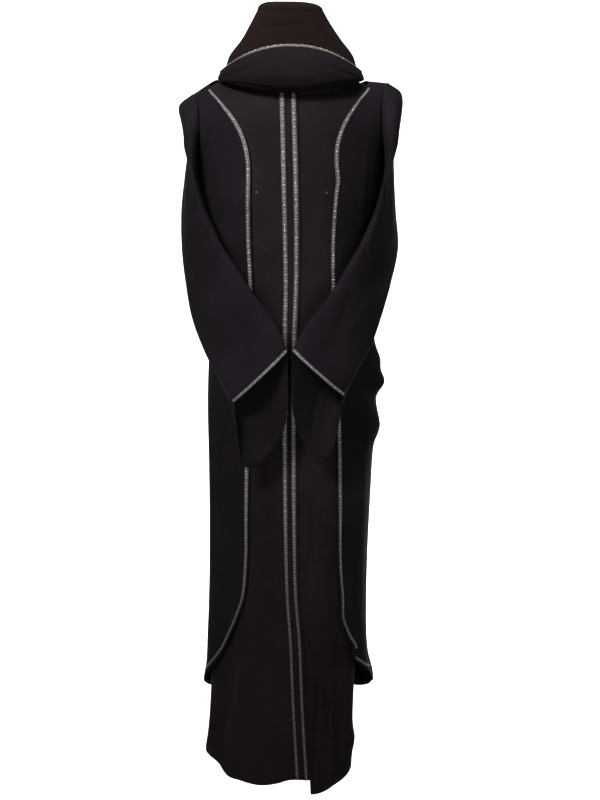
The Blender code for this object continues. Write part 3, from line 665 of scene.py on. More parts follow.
def cloth(name, points, normals, material, ring=False):
    """A thin closed shell of cloth whose outer face is the grid of points."""
    piece = new_piece(name, points, grid_faces(*points.shape[:2], ring), material)
    return thickened(piece, normals)


def cut_size(points):
    """The widest row, the longest column and the area of a grid, as the flat cut of the cloth."""
    across = np.linalg.norm(np.diff(points, axis=1), axis=2).sum(axis=1).max()
    along = np.linalg.norm(np.diff(points, axis=0), axis=2).sum(axis=0).max()
    one = np.cross(points[1:, 1:] - points[:-1, :-1], points[1:, :-1] - points[:-1, 1:])
    return float(across), float(along), float(np.linalg.norm(one, axis=2).sum() / 2)


def off_cloth(layer, turn, drop, lift):
    """Points a little way out from a layer of the body."""
    surface = SURFACES[layer]
    return surface(turn, drop) + outward(surface, turn, drop, -1) * lift


def ready(piece, slot, *nodes):
    """Every piece rides on the one body, and may stand for some of the measured nodes."""
    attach(piece, "root")
    if nodes:
        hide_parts(*nodes)


print("cloth is", CLOTH_THICK * 1000, "mm thick")

# %% [markdown]
# ## Crepe, as a shader
# The kaftan is black crepe: a matte weave of tightly twisted yarn whose surface is finely pebbled.
# Two effects are shared by all its pieces, so each is a node group of its own. `crepe_grain` gives
# the height of the weave, and `soft_wear` a slow mask for the cloth's tone, where it is rubbed or
# where dye has faded. Both work from the object's own place in metres, not from a flat map.

# %% Group tools
def new_group(name, inputs, outputs):
    """An empty node group with number inputs and named outputs, and the object's own place in it."""
    group = bpy.data.node_groups.new(name, "ShaderNodeTree")
    for label, value in inputs.items():
        socket = group.interface.new_socket(label, in_out="INPUT", socket_type="NodeSocketFloat")
        socket.default_value = value
    for label in outputs:
        group.interface.new_socket(label, in_out="OUTPUT", socket_type="NodeSocketFloat")
    enter = group.nodes.new("NodeGroupInput")
    leave = group.nodes.new("NodeGroupOutput")
    return group, enter, leave, group.nodes.new("ShaderNodeTexCoord").outputs["Object"]


def add_node(tree, kind, **settings):
    node = tree.nodes.new(kind)
    for key, value in settings.items():
        setattr(node, key, value)
    return node


def join(tree, source, target):
    tree.links.new(source, target)


def math_node(tree, operation, *values):
    """A math node whose inputs are sockets or plain numbers."""
    node = add_node(tree, "ShaderNodeMath", operation=operation)
    for socket, value in zip(node.inputs, values):
        if isinstance(value, (int, float)):
            socket.default_value = value
        else:
            join(tree, value, socket)
    return node.outputs[0]


def noise_node(tree, place, size, **values):
    """Noise whose features have a size in metres, given by a socket."""
    noise = add_node(tree, "ShaderNodeTexNoise")
    settle_inputs(noise, **values)
    join(tree, place, noise.inputs["Vector"])
    join(tree, math_node(tree, "DIVIDE", 1.0, size), noise.inputs["Scale"])
    return noise.outputs["Fac"]


def soft_range(tree, value, low, high, most=1.0):
    """A smooth rise from 0 at low to most at high."""
    spread = add_node(tree, "ShaderNodeMapRange", interpolation_type="SMOOTHSTEP")
    settle_inputs(spread, From_Min=low, From_Max=high, To_Max=most)
    join(tree, value, spread.inputs["Value"])
    return spread.outputs["Result"]


def add_bump(tree, shader, height, **values):
    bump = add_node(tree, "ShaderNodeBump")
    settle_inputs(bump, **values)
    join(tree, height, bump.inputs["Height"])
    join(tree, bump.outputs["Normal"], shader.inputs["Normal"])


print("group tools are ready")

# %% The weave of crepe
CREPE_THREAD = 0.0007
CREPE_PEBBLE = 0.0016
WAVES_PER_SIZE = 0.16
PEBBLE_SHARE = 0.7
WEAVE_SHARE = 0.25


def crepe_grain_group():
    """Fine pebbles of twisted yarn over the crossing threads of the weave."""
    sizes = {"Thread Size": CREPE_THREAD, "Pebble Size": CREPE_PEBBLE}
    group, enter, leave, place = new_group("crepe_grain", sizes, ["Height"])
    pebbles = noise_node(group, place, enter.outputs["Pebble Size"], Detail=3.0, Roughness=0.6)
    threads = []
    for direction in ("X", "Z"):
        wave = add_node(group, "ShaderNodeTexWave", bands_direction=direction)
        settle_inputs(wave, Distortion=1.6, Detail=1.0)
        join(group, place, wave.inputs["Vector"])
        scale = math_node(group, "DIVIDE", WAVES_PER_SIZE, enter.outputs["Thread Size"])
        join(group, scale, wave.inputs["Scale"])
        threads.append(wave.outputs["Fac"])
    weave = math_node(group, "MULTIPLY", math_node(group, "ADD", *threads), WEAVE_SHARE)
    both = math_node(group, "ADD", math_node(group, "MULTIPLY", pebbles, PEBBLE_SHARE), weave)
    join(group, both, leave.inputs["Height"])
    return group


CREPE_GRAIN = crepe_grain_group()
print("made", CREPE_GRAIN.name)

# %% Slow changes of tone
WEAR_MASKS = rows(
    "label size target low high",
    ("Patch Size", 0.16, "Tone", 0.35, 0.68),
    ("Rub Size", 0.02, "Rubbed", 0.50, 0.80),
)


def soft_wear_group():
    """A slow mask from 0 to 1 for tone, and a finer one for rubbed threads and lint."""
    sizes = {mask.label: mask.size for mask in WEAR_MASKS}
    group, enter, leave, place = new_group("soft_wear", sizes, [mask.target for mask in WEAR_MASKS])
    for mask in WEAR_MASKS:
        noise = noise_node(group, place, enter.outputs[mask.label], Detail=4.0)
        join(group, soft_range(group, noise, mask.low, mask.high), leave.inputs[mask.target])
    return group


SOFT_WEAR = soft_wear_group()
print("made", SOFT_WEAR.name)

# %% [markdown]
# ## Four blacks
# No two blacks are the same under white light. The dress and the hood's crown lean a little to brown,
# the coat and its sleeves a little to violet, as in the photograph. The hood's front has its own copy
# of the hood's cloth. It is violet, and a little darker than the crown as painted shade, for the shade
# that its deep fold lies in. Crepe has almost no shine, so the specular level is very low, and a faint
# sheen stands for the fuzz of the yarn at grazing angles.

# %% Crepe materials
CREPES = rows(
    "name deep worn roughness sheen",
    ("dress_crepe", (0.0060, 0.0043, 0.0047), (0.0100, 0.0074, 0.0077), 0.80, 0.002),
    ("coat_crepe", (0.0040, 0.0031, 0.0042), (0.0068, 0.0055, 0.0072), 0.80, 0.002),
    ("hood_crepe", (0.0050, 0.0033, 0.0031), (0.0080, 0.0050, 0.0047), 0.82, 0.003),
    # The hood's front: violet, and a little darker than the crown as painted shade for the shade of
    # its deep fold.
    ("drape_crepe", (0.0042, 0.0029, 0.0040), (0.0069, 0.0050, 0.0065), 0.82, 0.002),
)
GRAIN_DEPTH = 0.00016
GRAIN_STRENGTH = 0.6
RUBBED_SHARE = 0.35
RUBBED_SMOOTHER = -0.08
CREPE_SPECULAR = 0.012
SHEEN_SPREAD = 0.5


def place_group(tree, group, **values):
    node = add_node(tree, "ShaderNodeGroup", node_tree=group)
    settle_inputs(node, **values)
    return node.outputs


def two_tones(tree, shader, mask, deep, worn):
    """A base colour that goes from deep to worn with a mask."""
    mix = add_node(tree, "ShaderNodeMix", data_type="RGBA")
    join(tree, mask, mix.inputs["Factor"])
    settle_inputs(mix, A=(*deep, 1.0), B=(*worn, 1.0))
    join(tree, mix.outputs["Result"], shader.inputs["Base Color"])


def crepe_material(crepe):
    material, tree, shader = new_material(crepe.name)
    grain = place_group(tree, CREPE_GRAIN, Thread_Size=CREPE_THREAD, Pebble_Size=CREPE_PEBBLE)
    wear = place_group(tree, SOFT_WEAR, Patch_Size=0.17, Rub_Size=0.018)
    rubbed = math_node(tree, "MULTIPLY", wear["Rubbed"], RUBBED_SHARE)
    mask = math_node(tree, "ADD", math_node(tree, "MULTIPLY", wear["Tone"], 1 - RUBBED_SHARE), rubbed)
    two_tones(tree, shader, mask, crepe.deep, crepe.worn)
    rough = math_node(tree, "MULTIPLY_ADD", wear["Rubbed"], RUBBED_SMOOTHER, crepe.roughness)
    join(tree, rough, shader.inputs["Roughness"])
    add_bump(tree, shader, grain["Height"], Distance=GRAIN_DEPTH, Strength=GRAIN_STRENGTH)
    settle_inputs(shader, Specular_IOR_Level=CREPE_SPECULAR)
    settle_inputs(shader, Sheen_Weight=crepe.sheen, Sheen_Roughness=SHEEN_SPREAD)
    return material


DRESS_CREPE, COAT_CREPE, HOOD_CREPE, SHADED_DRAPE_CREPE = [crepe_material(crepe) for crepe in CREPES]
print("crepes:", [crepe.name for crepe in CREPES])

# %% [markdown]
# ## The dress
# The dress is cut in three: a right front that carries both centre braids, a left front that laps
# under it at the placket, and a back. Under the overlap the left front sinks by the thickness of
# the two layers, and comes out to the body's surface again towards the side.

# %% Dress panels
def centre_line(side, shift):
    return level_line("dress", lambda z: read(CENTRE_BRAIDS, side, z) + shift)


def back_lines(layer):
    """The lines of a back: its edges, and the corners of its neckline."""
    corners = [neck_corner(layer, side, True) for side in (1, -1)]
    return [side_line(layer, 1, True), *corners, side_line(layer, -1, True)]


LAYER_LOOK = {"dress": (DRESS_CREPE, "dress_cloth"), "coat": (COAT_CREPE, "coat_cloth")}
BACK_COUNTS = (2, 10, 2)


def add_panel(name, node, hem, lines, counts, finer=5, lift_of=None, behind=False):
    """A panel of the body: its points, the finished shell and its flat cut."""
    layer = name.split("_")[0]
    turn, drop = panel_grid(layer, hem, behind, lines, counts, finer)
    surface = SURFACES[layer]
    normals = outward(surface, turn, drop, -1)
    points = surface(turn, drop)
    if lift_of:
        points = points + normals * lift_of(turn)[..., None]
    if behind:
        points[..., 1] = np.maximum(points[..., 1], SEAM_HALF)
    else:
        points[..., 1] = np.minimum(points[..., 1], -SEAM_HALF)
    material, slot = LAYER_LOOK[layer]
    piece = cloth(name, points, normals, material)
    ready(piece, slot, node)
    print(name, "points:", points.shape[0] * points.shape[1], "cut:", np.round(cut_size(points), 3))


def under_placket(turn):
    """How the left front sinks under the overlap."""
    return -PLACKET_LAP * (1 - ease_in((turn - LAP_START) / LAP_FADE))


half = BRAID_WIDTH / 2
right_lines = [side_line("dress", -1, False), neck_corner("dress", -1)]
right_lines += [centre_line(side, shift) for side in ("right", "left") for shift in (-half, half)]
right_lines.append(centre_line("left", PLACKET_MARGIN))
steps = (-PLACKET_OVERLAP, -STEP_INSIDE, STEP_OUTSIDE)
left_lines = [centre_line("left", PLACKET_MARGIN + step) for step in steps]
left_lines += [neck_corner("dress", 1), side_line("dress", 1, False)]
add_panel("dress_right_front", "kaftan_front_right", RIGHT_FRONT_HEM, right_lines, (3, 4, 1, 1, 1, 1))
add_panel(
    "dress_left_front", "kaftan_front_left", LEFT_FRONT_HEM, left_lines, (2, 1, 4, 3), 6, under_placket
)
add_panel("dress_back", "kaftan_back", BACK_HEM, back_lines("dress"), BACK_COUNTS, behind=True)

# %% [markdown]
# ## The coat
# The coat hangs open over the dress. Each front is a narrow side panel whose braided edge runs from
# the middle of the shoulder in to the bust, straight down, and then curves out to the side seam.

# %% Coat panels
EDGE_LOOK = 0.004
EDGE_STEEPEST = 1.2
COAT_FRONT_COUNTS = (1, 6)
SIGNS = {"right": -1, "left": 1}


def coat_edge(name, side, inset):
    """The coat's front edge, or a line further in from it, measured across the edge."""

    def place(z):
        rise = read(COAT_EDGES, name, z + EDGE_LOOK) - read(COAT_EDGES, name, z - EDGE_LOOK)
        slope = np.minimum(np.abs(rise / (2 * EDGE_LOOK)), EDGE_STEEPEST)
        return read(COAT_EDGES, name, z) + side * inset * np.hypot(1, slope)

    return level_line("coat", place)


for name, side in SIGNS.items():
    lines = [coat_edge(name, side, inset) for inset in (0.0, BRAID_WIDTH)]
    lines.append(side_line("coat", side, False))
    node = f"coat_side_front_{name}"
    add_panel(f"coat_{name}_front", node, COAT_FRONT_HEM, lines[::side], COAT_FRONT_COUNTS[::side])
add_panel("coat_back_panel", "coat_back", COAT_BACK_HEM, back_lines("coat"), BACK_COUNTS, behind=True)

# %% [markdown]
# ## The sleeves
# A wide sleeve is a flat tube: at each ring it has an outer and an inner edge, and its two layers
# swell away from the line between them. From the armhole it swings forward, and at the cuff its
# back layer hangs lower than the front, which shows the inside of the sleeve.

# %% Sleeve sizes
RING_COLUMNS = "along outer_x outer_y outer_z inner_x inner_y inner_z front back lean hang tuck"
RIGHT_SLEEVE = rows(
    RING_COLUMNS,
    (0.0, -0.195, 0.0, -0.022, -0.183, 0.0, -0.172, 0.07, 0.075, 0.0, 0.0, 0.0),
    (0.08, -0.2205, 0.0, -0.045, -0.1808, -0.032, -0.177, 0.072, 0.076, 0.004, 0.0, 0.0),
    (0.16, -0.2135, 0.0, -0.085, -0.1776, -0.047, -0.189, 0.074, 0.072, 0.009, 0.0, 0.0),
    (0.24, -0.204, 0.0, -0.13, -0.172, -0.06, -0.21, 0.07, 0.072, 0.012, 0.0, 0.0),
    (0.33, -0.2085, 0.0, -0.185, -0.163, -0.082, -0.236, 0.058, 0.066, 0.016, 0.0, 0.0),
    (0.43, -0.216, -0.006, -0.25, -0.148, -0.108, -0.268, 0.048, 0.054, 0.016, 0.0, 0.0),
    (0.53, -0.217, -0.022, -0.32, -0.13, -0.132, -0.302, 0.04, 0.042, 0.01, 0.0, 0.0),
    (0.63, -0.209, -0.05, -0.385, -0.103, -0.152, -0.34, 0.034, 0.034, 0.004, 0.0, 0.0),
    (0.73, -0.195, -0.085, -0.45, -0.073, -0.166, -0.385, 0.03, 0.028, 0.0, 0.004, 0.006),
    (0.83, -0.167, -0.122, -0.515, -0.041, -0.176, -0.425, 0.026, 0.022, 0.0, 0.04, 0.022),
    (0.92, -0.138, -0.155, -0.56, -0.021, -0.186, -0.455, 0.022, 0.018, 0.0, 0.1, 0.04),
    (1.0, -0.109, -0.18, -0.598, -0.0065, -0.194, -0.495, 0.02, 0.018, 0.0, 0.168, 0.012),
)
LEFT_SLEEVE = rows(
    RING_COLUMNS,
    (0.0, 0.195, 0.0, 0.0, 0.183, 0.0, -0.172, 0.07, 0.075, 0.0, 0.0, 0.0),
    (0.08, 0.22, 0.0, -0.022, 0.1804, -0.034, -0.177, 0.072, 0.076, 0.004, 0.0, 0.0),
    (0.16, 0.2165, 0.0, -0.07, 0.1776, -0.047, -0.189, 0.074, 0.072, 0.009, 0.0, 0.0),
    (0.24, 0.202, 0.0, -0.125, 0.172, -0.06, -0.21, 0.07, 0.072, 0.012, 0.0, 0.0),
    (0.33, 0.2005, 0.0, -0.185, 0.163, -0.082, -0.236, 0.058, 0.066, 0.016, 0.0, 0.0),
    (0.43, 0.205, -0.006, -0.25, 0.148, -0.108, -0.268, 0.048, 0.054, 0.016, 0.0, 0.0),
    (0.53, 0.212, -0.022, -0.32, 0.13, -0.132, -0.302, 0.04, 0.042, 0.01, 0.0, 0.0),
    (0.63, 0.198, -0.05, -0.385, 0.106, -0.152, -0.34, 0.034, 0.034, 0.004, 0.0, 0.0),
    (0.73, 0.18, -0.085, -0.44, 0.078, -0.166, -0.385, 0.03, 0.028, 0.0, 0.004, 0.006),
    (0.83, 0.156, -0.122, -0.5, 0.046, -0.176, -0.425, 0.026, 0.022, 0.0, 0.038, 0.022),
    (0.92, 0.126, -0.155, -0.545, 0.023, -0.186, -0.455, 0.022, 0.018, 0.0, 0.1, 0.044),
    (1.0, 0.1, -0.18, -0.585, 0.0025, -0.194, -0.493, 0.02, 0.018, 0.0, 0.16, 0.022),
)
HANG_SQUARENESS = 0.32
HANG_TOE = 0.02
ARMHOLE_FADE = 0.20
SLEEVE_LENGTH = 0.55
SLEEVE_GIRTH = 0.30
SLEEVE_FADE_IN = 0.08
SLEEVE_FADE_OUT = 0.05
SLEEVE_FADE_END = 1.03
print("rings in a sleeve:", len(RIGHT_SLEEVE))

# %% Sleeve creases, by share round the tube and along it
def on_sleeve(around, along):
    """Round the tube, 0 is the outer edge, a quarter the front, a half the inner edge."""
    return around * SLEEVE_GIRTH, along * SLEEVE_LENGTH


SLEEVE_CREASES = {
    "right": creases(
        on_sleeve,
        (0.05, 0.14, 0.06, 0.58, -2.0, 5, 3),
        (0.21, 0.07, 0.13, 0.46, 2.4, 13, 8),
        (0.33, 0.16, 0.22, 0.44, -2.0, 10, -6),
        (0.45, 0.42, 0.27, 0.53, -2.6, 8, 6),
        (0.46, 0.52, 0.31, 0.61, -2.0, 7, 5),
        (0.14, 0.52, 0.25, 0.93, 2.2, 13, -6),
        (0.36, 0.62, 0.22, 0.98, -1.8, 10, 6),
        (0.60, 0.14, 0.70, 0.50, -2.4, 12, 5),
        (0.80, 0.18, 0.71, 0.60, 2.6, 14, -6),
        (0.66, 0.50, 0.80, 0.76, -2.2, 10, 6),
        (0.88, 0.34, 0.80, 0.66, -1.8, 9, 4),
        (0.70, 0.80, 0.74, 1.02, 2.0, 11, 3),
    ),
    "left": creases(
        on_sleeve,
        (0.05, 0.10, 0.05, 0.50, -1.8, 5, 2),
        (0.19, 0.10, 0.12, 0.52, 2.6, 14, 6),
        (0.30, 0.14, 0.24, 0.40, -1.8, 9, -4),
        (0.44, 0.38, 0.25, 0.50, -2.4, 8, 7),
        (0.47, 0.48, 0.29, 0.58, -2.2, 7, 4),
        (0.10, 0.56, 0.24, 0.88, 2.0, 12, -7),
        (0.34, 0.66, 0.26, 0.96, -1.6, 9, 4),
        (0.62, 0.12, 0.68, 0.44, -2.2, 11, 4),
        (0.82, 0.22, 0.74, 0.58, 2.4, 13, -5),
        (0.64, 0.54, 0.78, 0.82, -2.0, 10, 5),
        (0.76, 0.84, 0.72, 1.02, 1.8, 10, -3),
    ),
}
print("sleeve creases:", sum(len(table) for table in SLEEVE_CREASES.values()))

# %% Sleeve surface
def armhole_points(side, around):
    """Points on the coat's armhole, from the shoulder down its front edge and up the back."""
    share = np.abs(1 - around * 2)
    found = np.zeros(around.shape + (3,))
    for behind in (False, True):
        chosen = (around > 0.5) == behind
        rise = 1 + share[chosen]
        turn, z = settle("coat", rise, COAT_BACK_HEM, behind, side_line("coat", side, behind))
        found[chosen] = off_cloth("coat", turn, drop_of("coat", turn, z), SEAM_GAP + CLOTH_THICK)
    return found


def sleeve_section(table, along, around):
    """Points of the sleeve's plain section: a flat tube between its outer and inner edges."""
    value = {name: read(table, name, along) for name in table[0]._fields[1:]}
    names = [[f"{edge}_{axis}" for axis in "xyz"] for edge in ("outer", "inner")]
    outer, inner = [np.stack([value[name] for name in three], axis=-1) for three in names]
    angle = around * 2 * np.pi
    point = (outer + inner) / 2 + (outer - inner) / 2 * np.cos(angle)[..., None]
    swell = np.sin(angle)
    lower = np.maximum(-swell, 0.0)
    square = lower**HANG_SQUARENESS
    tucked = value["tuck"] * square * (1 + np.cos(angle)) / 2
    toe = HANG_TOE * value["hang"] * square * (1 - np.cos(angle)) / 2
    aside = np.copysign(1.0, value["outer_x"]) * (value["lean"] * lower - tucked - toe)
    deep = np.where(swell > 0, -value["front"] * swell, -value["back"] * swell)
    return point + np.stack([aside, deep, -value["hang"] * square], axis=-1)


def sleeve_surface(name, side, table):
    """The sleeve's outer face: along runs from the armhole, around from the outer edge."""

    def smooth(along, around):
        around = around % 1.0
        point = sleeve_section(table, along, around)
        gap = armhole_points(side, around) - sleeve_section(table, np.zeros(along.shape), around)
        return point + gap * (1 - ease_in(along / ARMHOLE_FADE))[..., None]

    def creased(along, around):
        point = smooth(along, around)
        ends = ease_in(along / SLEEVE_FADE_IN) * ease_in((SLEEVE_FADE_END - along) / SLEEVE_FADE_OUT)
        height = 0.0
        for shift in (0.0, 1.0, -1.0):
            place = (around % 1.0 + shift) * SLEEVE_GIRTH
            height = height + crease_heights(SLEEVE_CREASES[name], place, along * SLEEVE_LENGTH)
        return point + outward(smooth, along, around, -side) * (height * ends)[..., None]

    return creased


SLEEVE_SURFACES = {
    "right": (sleeve_surface("right", -1, RIGHT_SLEEVE), 1),
    "left": (sleeve_surface("left", 1, LEFT_SLEEVE), -1),
}
print("sleeve surfaces:", list(SLEEVE_SURFACES))

# %% Sleeve pieces
SLEEVE_ROWS = 110
SLEEVE_COLUMNS = 96


def grid_of(along, around):
    return np.meshgrid(along, around, indexing="ij")


for name, (surface, sign) in SLEEVE_SURFACES.items():
    around = np.arange(SLEEVE_COLUMNS) / SLEEVE_COLUMNS
    along, around = grid_of(np.linspace(0, 1, SLEEVE_ROWS), around)
    points = surface(along, around)
    normals = outward(surface, along, around, sign)
    piece = cloth(f"coat_{name}_sleeve", points, normals, COAT_CREPE, ring=True)
    ready(piece, "coat_cloth", f"sleeve_{name}")

# %% [markdown]
# ## The hood
# The hood has two pieces. Its crown is a soft bag that is sewn round the back and the sides of the
# neckline. Its front is a deep fold of cloth that drapes over the neckline and stands up again to
# a free edge, which carries a braid. The crown's front edge is tucked behind it.

# %% Hood sizes
CROWN = rows(
    "z right left front back",
    (-0.02, 0.134, 0.134, 0.09, 0.099), (0.012, 0.137, 0.138, 0.084, 0.116),
    (0.046, 0.1255, 0.1262, 0.074, 0.125), (0.082, 0.0965, 0.098, 0.064, 0.117),
    (0.114, 0.078, 0.076, 0.054, 0.098), (0.138, 0.065, 0.062, 0.043, 0.072),
)
CROWN_TOP_Z = 0.155
CROWN_TOP_X = -0.022
CROWN_FRONT_Z = 0.036
CROWN_SEAM_FADE = 0.30
CROWN_SIDES = 0.62
CROWN_FACING = 0.6
CROWN_ROUND = 0.55

COWL = rows(
    "share half_wide front z_front z_side",
    (0.0, 0.129, 0.088, -0.012, 0.007), (0.15, 0.135, 0.104, -0.013, 0.0045),
    (0.35, 0.141, 0.124, 0.0, 0.0045), (0.6, 0.143, 0.126, 0.032, 0.009),
    (0.82, 0.141, 0.112, 0.06, 0.015), (1.0, 0.137, 0.094, 0.076, 0.023),
)
COWL_END = math.radians(84)
COWL_SEAM_FADE = 0.17
COWL_REACH = 0.13
COWL_DEEP = 0.14
CROWN_REACH = 0.11
CROWN_TALL = 0.22
CROWN_FADE_IN = 0.06
CROWN_FADE_OUT = 0.2
COWL_FADE_IN = 0.12
COWL_FADE_OUT = 0.1
print("crown levels:", len(CROWN), "drape lines:", len(COWL))

# %% Hood creases
def on_front(degrees, share):
    return math.radians(degrees) * COWL_REACH, share * COWL_DEEP


def on_crown(degrees, share):
    return math.radians(degrees) * CROWN_REACH, share * CROWN_TALL


COWL_CREASES = creases(
    on_front,
    (-66, 0.34, -4, 0.24, -1.6, 7, 6),
    (8, 0.26, 70, 0.38, -1.8, 8, 6),
    (-72, 0.62, -22, 0.70, -1.4, 7, -4),
    (16, 0.72, 66, 0.60, -1.6, 7, -5),
    (-40, 0.48, 30, 0.46, 1.4, 10, 4),
    (-10, 0.86, 40, 0.84, -1.0, 6, 2),
)
CROWN_CREASES = creases(
    on_crown,
    (148, 0.04, 158, 0.60, -2.6, 11, 5),
    (212, 0.03, 200, 0.52, -2.4, 10, -5),
    (178, 0.02, 183, 0.34, 2.0, 12, 3),
    (112, 0.10, 128, 0.52, 2.0, 11, 4),
    (246, 0.08, 232, 0.50, -2.0, 10, 4),
    (-34, 0.40, 30, 0.46, -1.4, 9, 5),
    (-64, 0.22, -50, 0.60, -1.6, 8, 4),
    (60, 0.24, 48, 0.62, 1.6, 9, 4),
    (130, 0.62, 220, 0.66, -1.8, 10, 6),
)
print("hood creases:", len(COWL_CREASES) + len(CROWN_CREASES))

# %% Hood surfaces
def neckline_points(turn):
    """Points on the dress's neckline, lapped on from outside."""
    x = DRESS_NECK["half"] * power(np.sin(turn), 2 / HOOD_OVAL)
    found = np.zeros(np.shape(turn) + (3,))
    for behind in (False, True):
        chosen = (np.cos(turn) < 0) == behind
        z = neck_z("dress", x[chosen], behind)
        at = turn_at("dress", x[chosen], z, behind)
        drop = drop_at(shoulder_z("dress", x[chosen]) - z)
        found[chosen] = off_cloth("dress", at, drop, SEWN_LAP)
    return found


def crown_section(turn, z):
    right, left, front, back = [read(CROWN, side, z) for side in SIDES]
    deep = np.where(np.cos(turn) > 0, front, back)
    x = (left - right) / 2 + (left + right) / 2 * power(np.sin(turn), 2 / HOOD_OVAL)
    return np.stack([x, -deep * power(np.cos(turn), 2 / HOOD_OVAL), z + 0 * x], axis=-1)


def crown_smooth(turn, rise):
    """The crown: rise runs from its lower edge, 0, up over its rounded top, 1."""
    facing = np.maximum(np.cos(turn), 0.0) ** CROWN_FACING
    base = neckline_points(turn)
    low = base[..., 2] + (CROWN_FRONT_Z - base[..., 2]) * facing
    level = CROWN[-1].z
    z = low + (level - low) * np.minimum(rise / CROWN_SIDES, 1.0)
    sewn = (base - crown_section(turn, base[..., 2])) * (1 - facing)[..., None]
    lower = crown_section(turn, z) + sewn * (1 - ease_in(rise / CROWN_SEAM_FADE))[..., None]
    angle = np.clip((rise - CROWN_SIDES) / (1 - CROWN_SIDES), 0.0, 1.0) * np.pi / 2
    rim = crown_section(turn, np.full(np.shape(turn), level))
    middle = sum(crown_section(np.full(1, way), np.full(1, level)) for way in (0.0, np.pi)) / 2
    middle[..., 0] = CROWN_TOP_X
    flat = np.maximum(np.cos(angle), 0.0) ** CROWN_ROUND
    upper = middle + (rim - middle) * flat[..., None]
    upper[..., 2] = level + (CROWN_TOP_Z - level) * np.sin(angle)
    return np.where((rise <= CROWN_SIDES)[..., None], lower, upper)


def crown_surface(turn, rise):
    point = crown_smooth(turn, rise)
    around = turn % (2 * np.pi)
    height = 0.0
    for shift in (0.0, -2 * np.pi):
        place = (around + shift) * CROWN_REACH
        height = height + crease_heights(CROWN_CREASES, place, rise * CROWN_TALL)
    fade = ease_in(rise / CROWN_FADE_IN) * ease_in((1 - rise) / CROWN_FADE_OUT)
    return point + outward(crown_smooth, turn, rise, 1) * (height * fade)[..., None]


def cowl_section(turn, share):
    value = {name: read(COWL, name, share) for name in COWL[0]._fields[1:]}
    facing = np.maximum(np.cos(turn), 0.0)
    x = value["half_wide"] * power(np.sin(turn), 2 / HOOD_OVAL)
    y = -value["front"] * facing ** (2 / HOOD_OVAL)
    z = value["z_side"] + (value["z_front"] - value["z_side"]) * facing**2
    return np.stack([x, y, z], axis=-1)


def cowl_smooth(turn, share):
    seat = neckline_points(turn) - cowl_section(turn, np.zeros(np.shape(turn)))
    return cowl_section(turn, share) + seat * (1 - ease_in(share / COWL_SEAM_FADE))[..., None]


def cowl_surface(turn, share):
    height = crease_heights(COWL_CREASES, turn * COWL_REACH, share * COWL_DEEP)
    fade = ease_in(share / COWL_FADE_IN) * ease_in((1 - share) / COWL_FADE_OUT)
    lift = outward(cowl_smooth, turn, share, 1) * (height * fade)[..., None]
    return cowl_smooth(turn, share) + lift


print("top of the crown:", crown_surface(np.zeros(1), np.full(1, 0.97)).round(3))

# %% Crown of the hood
CROWN_COLUMNS = 120
CROWN_ROWS = 64
CROWN_CLOSES = 0.985
crown_turns = np.arange(CROWN_COLUMNS) / CROWN_COLUMNS * 2 * np.pi
rises, turns = grid_of(np.linspace(0, CROWN_CLOSES, CROWN_ROWS), crown_turns)
crown_points = crown_surface(turns, rises)
top = crown_points[-1].mean(axis=0)
top[2] = CROWN_TOP_Z
flat_points = np.concatenate([crown_points.reshape(-1, 3), top[None]])
crown_faces = grid_faces(CROWN_ROWS, CROWN_COLUMNS, True).tolist()
last = (CROWN_ROWS - 1) * CROWN_COLUMNS
tip = len(flat_points) - 1
crown_faces += [(last + c, last + (c + 1) % CROWN_COLUMNS, tip) for c in range(CROWN_COLUMNS)]
crown_normals = np.concatenate([outward(crown_surface, turns, rises, 1).reshape(-1, 3), [[0, 0, 1]]])
hood_crown = thickened(new_piece("hood_crown", flat_points, crown_faces, HOOD_CREPE), crown_normals)
ready(hood_crown, "hood_cloth", "hood")

# %% Draped front of the hood
COWL_COLUMNS = 120
COWL_ROWS = 48
shares, turns = grid_of(np.linspace(0, 1, COWL_ROWS), np.linspace(-COWL_END, COWL_END, COWL_COLUMNS))
cowl_points = cowl_surface(turns, shares)
# The draped front wears the darker copy of the hood's cloth: painted shade.
hood_drape = cloth("hood_drape", cowl_points, outward(cowl_surface, turns, shares, 1), SHADED_DRAPE_CREPE)
ready(hood_drape, "hood_cloth", "hood_front")
print("hood_drape cut:", np.round(cut_size(cowl_points), 3))

# %% [markdown]
# ## Lines that run on the cloth
# Braids and stitches follow the cloth. A line is a run of places on a surface, spread evenly by
# length, with three directions at each: along the line, out of the cloth, and across. Whatever is
# sewn on is then built from these, so it follows each fold under it.

# %% Even steps along a line
Track = namedtuple("Track", "points along out length")


def track(surface, u, v, sign, step, lift=0.0, closed=False):
    """A line on a surface in even steps, with its directions."""
    u, v = np.broadcast_arrays(u, v)
    rough = surface(u, v)
    run = np.concatenate([[0.0], np.linalg.norm(np.diff(rough, axis=0), axis=1).cumsum()])
    at = np.linspace(0, run[-1], max(int(round(run[-1] / step)), 2) + 1)
    if closed:
        at = at[:-1]
    u_even, v_even = np.interp(at, run, u), np.interp(at, run, v)
    points = surface(u_even, v_even)
    if closed:
        ahead = np.roll(points, -1, axis=0) - np.roll(points, 1, axis=0)
    else:
        ahead = np.gradient(points, axis=0)
    along = ahead / np.linalg.norm(ahead, axis=1, keepdims=True)
    out = outward(surface, u_even, v_even, sign)
    out = out - along * (out * along).sum(axis=1, keepdims=True)
    out = out / np.linalg.norm(out, axis=1, keepdims=True)
    return Track(points + out * lift, along, out, float(run[-1]))


print("a track holds", Track._fields)

# %% [markdown]
# ## Beaded braid
# The braid is a flat plait of silver thread, 10 mm wide, with raised edges. A row of beads is sewn
# down its middle: a large one, then a small one, over and over. The plait's swelling follows the
# beads. From two metres the beads blend into a bright line with a fine beat in it.

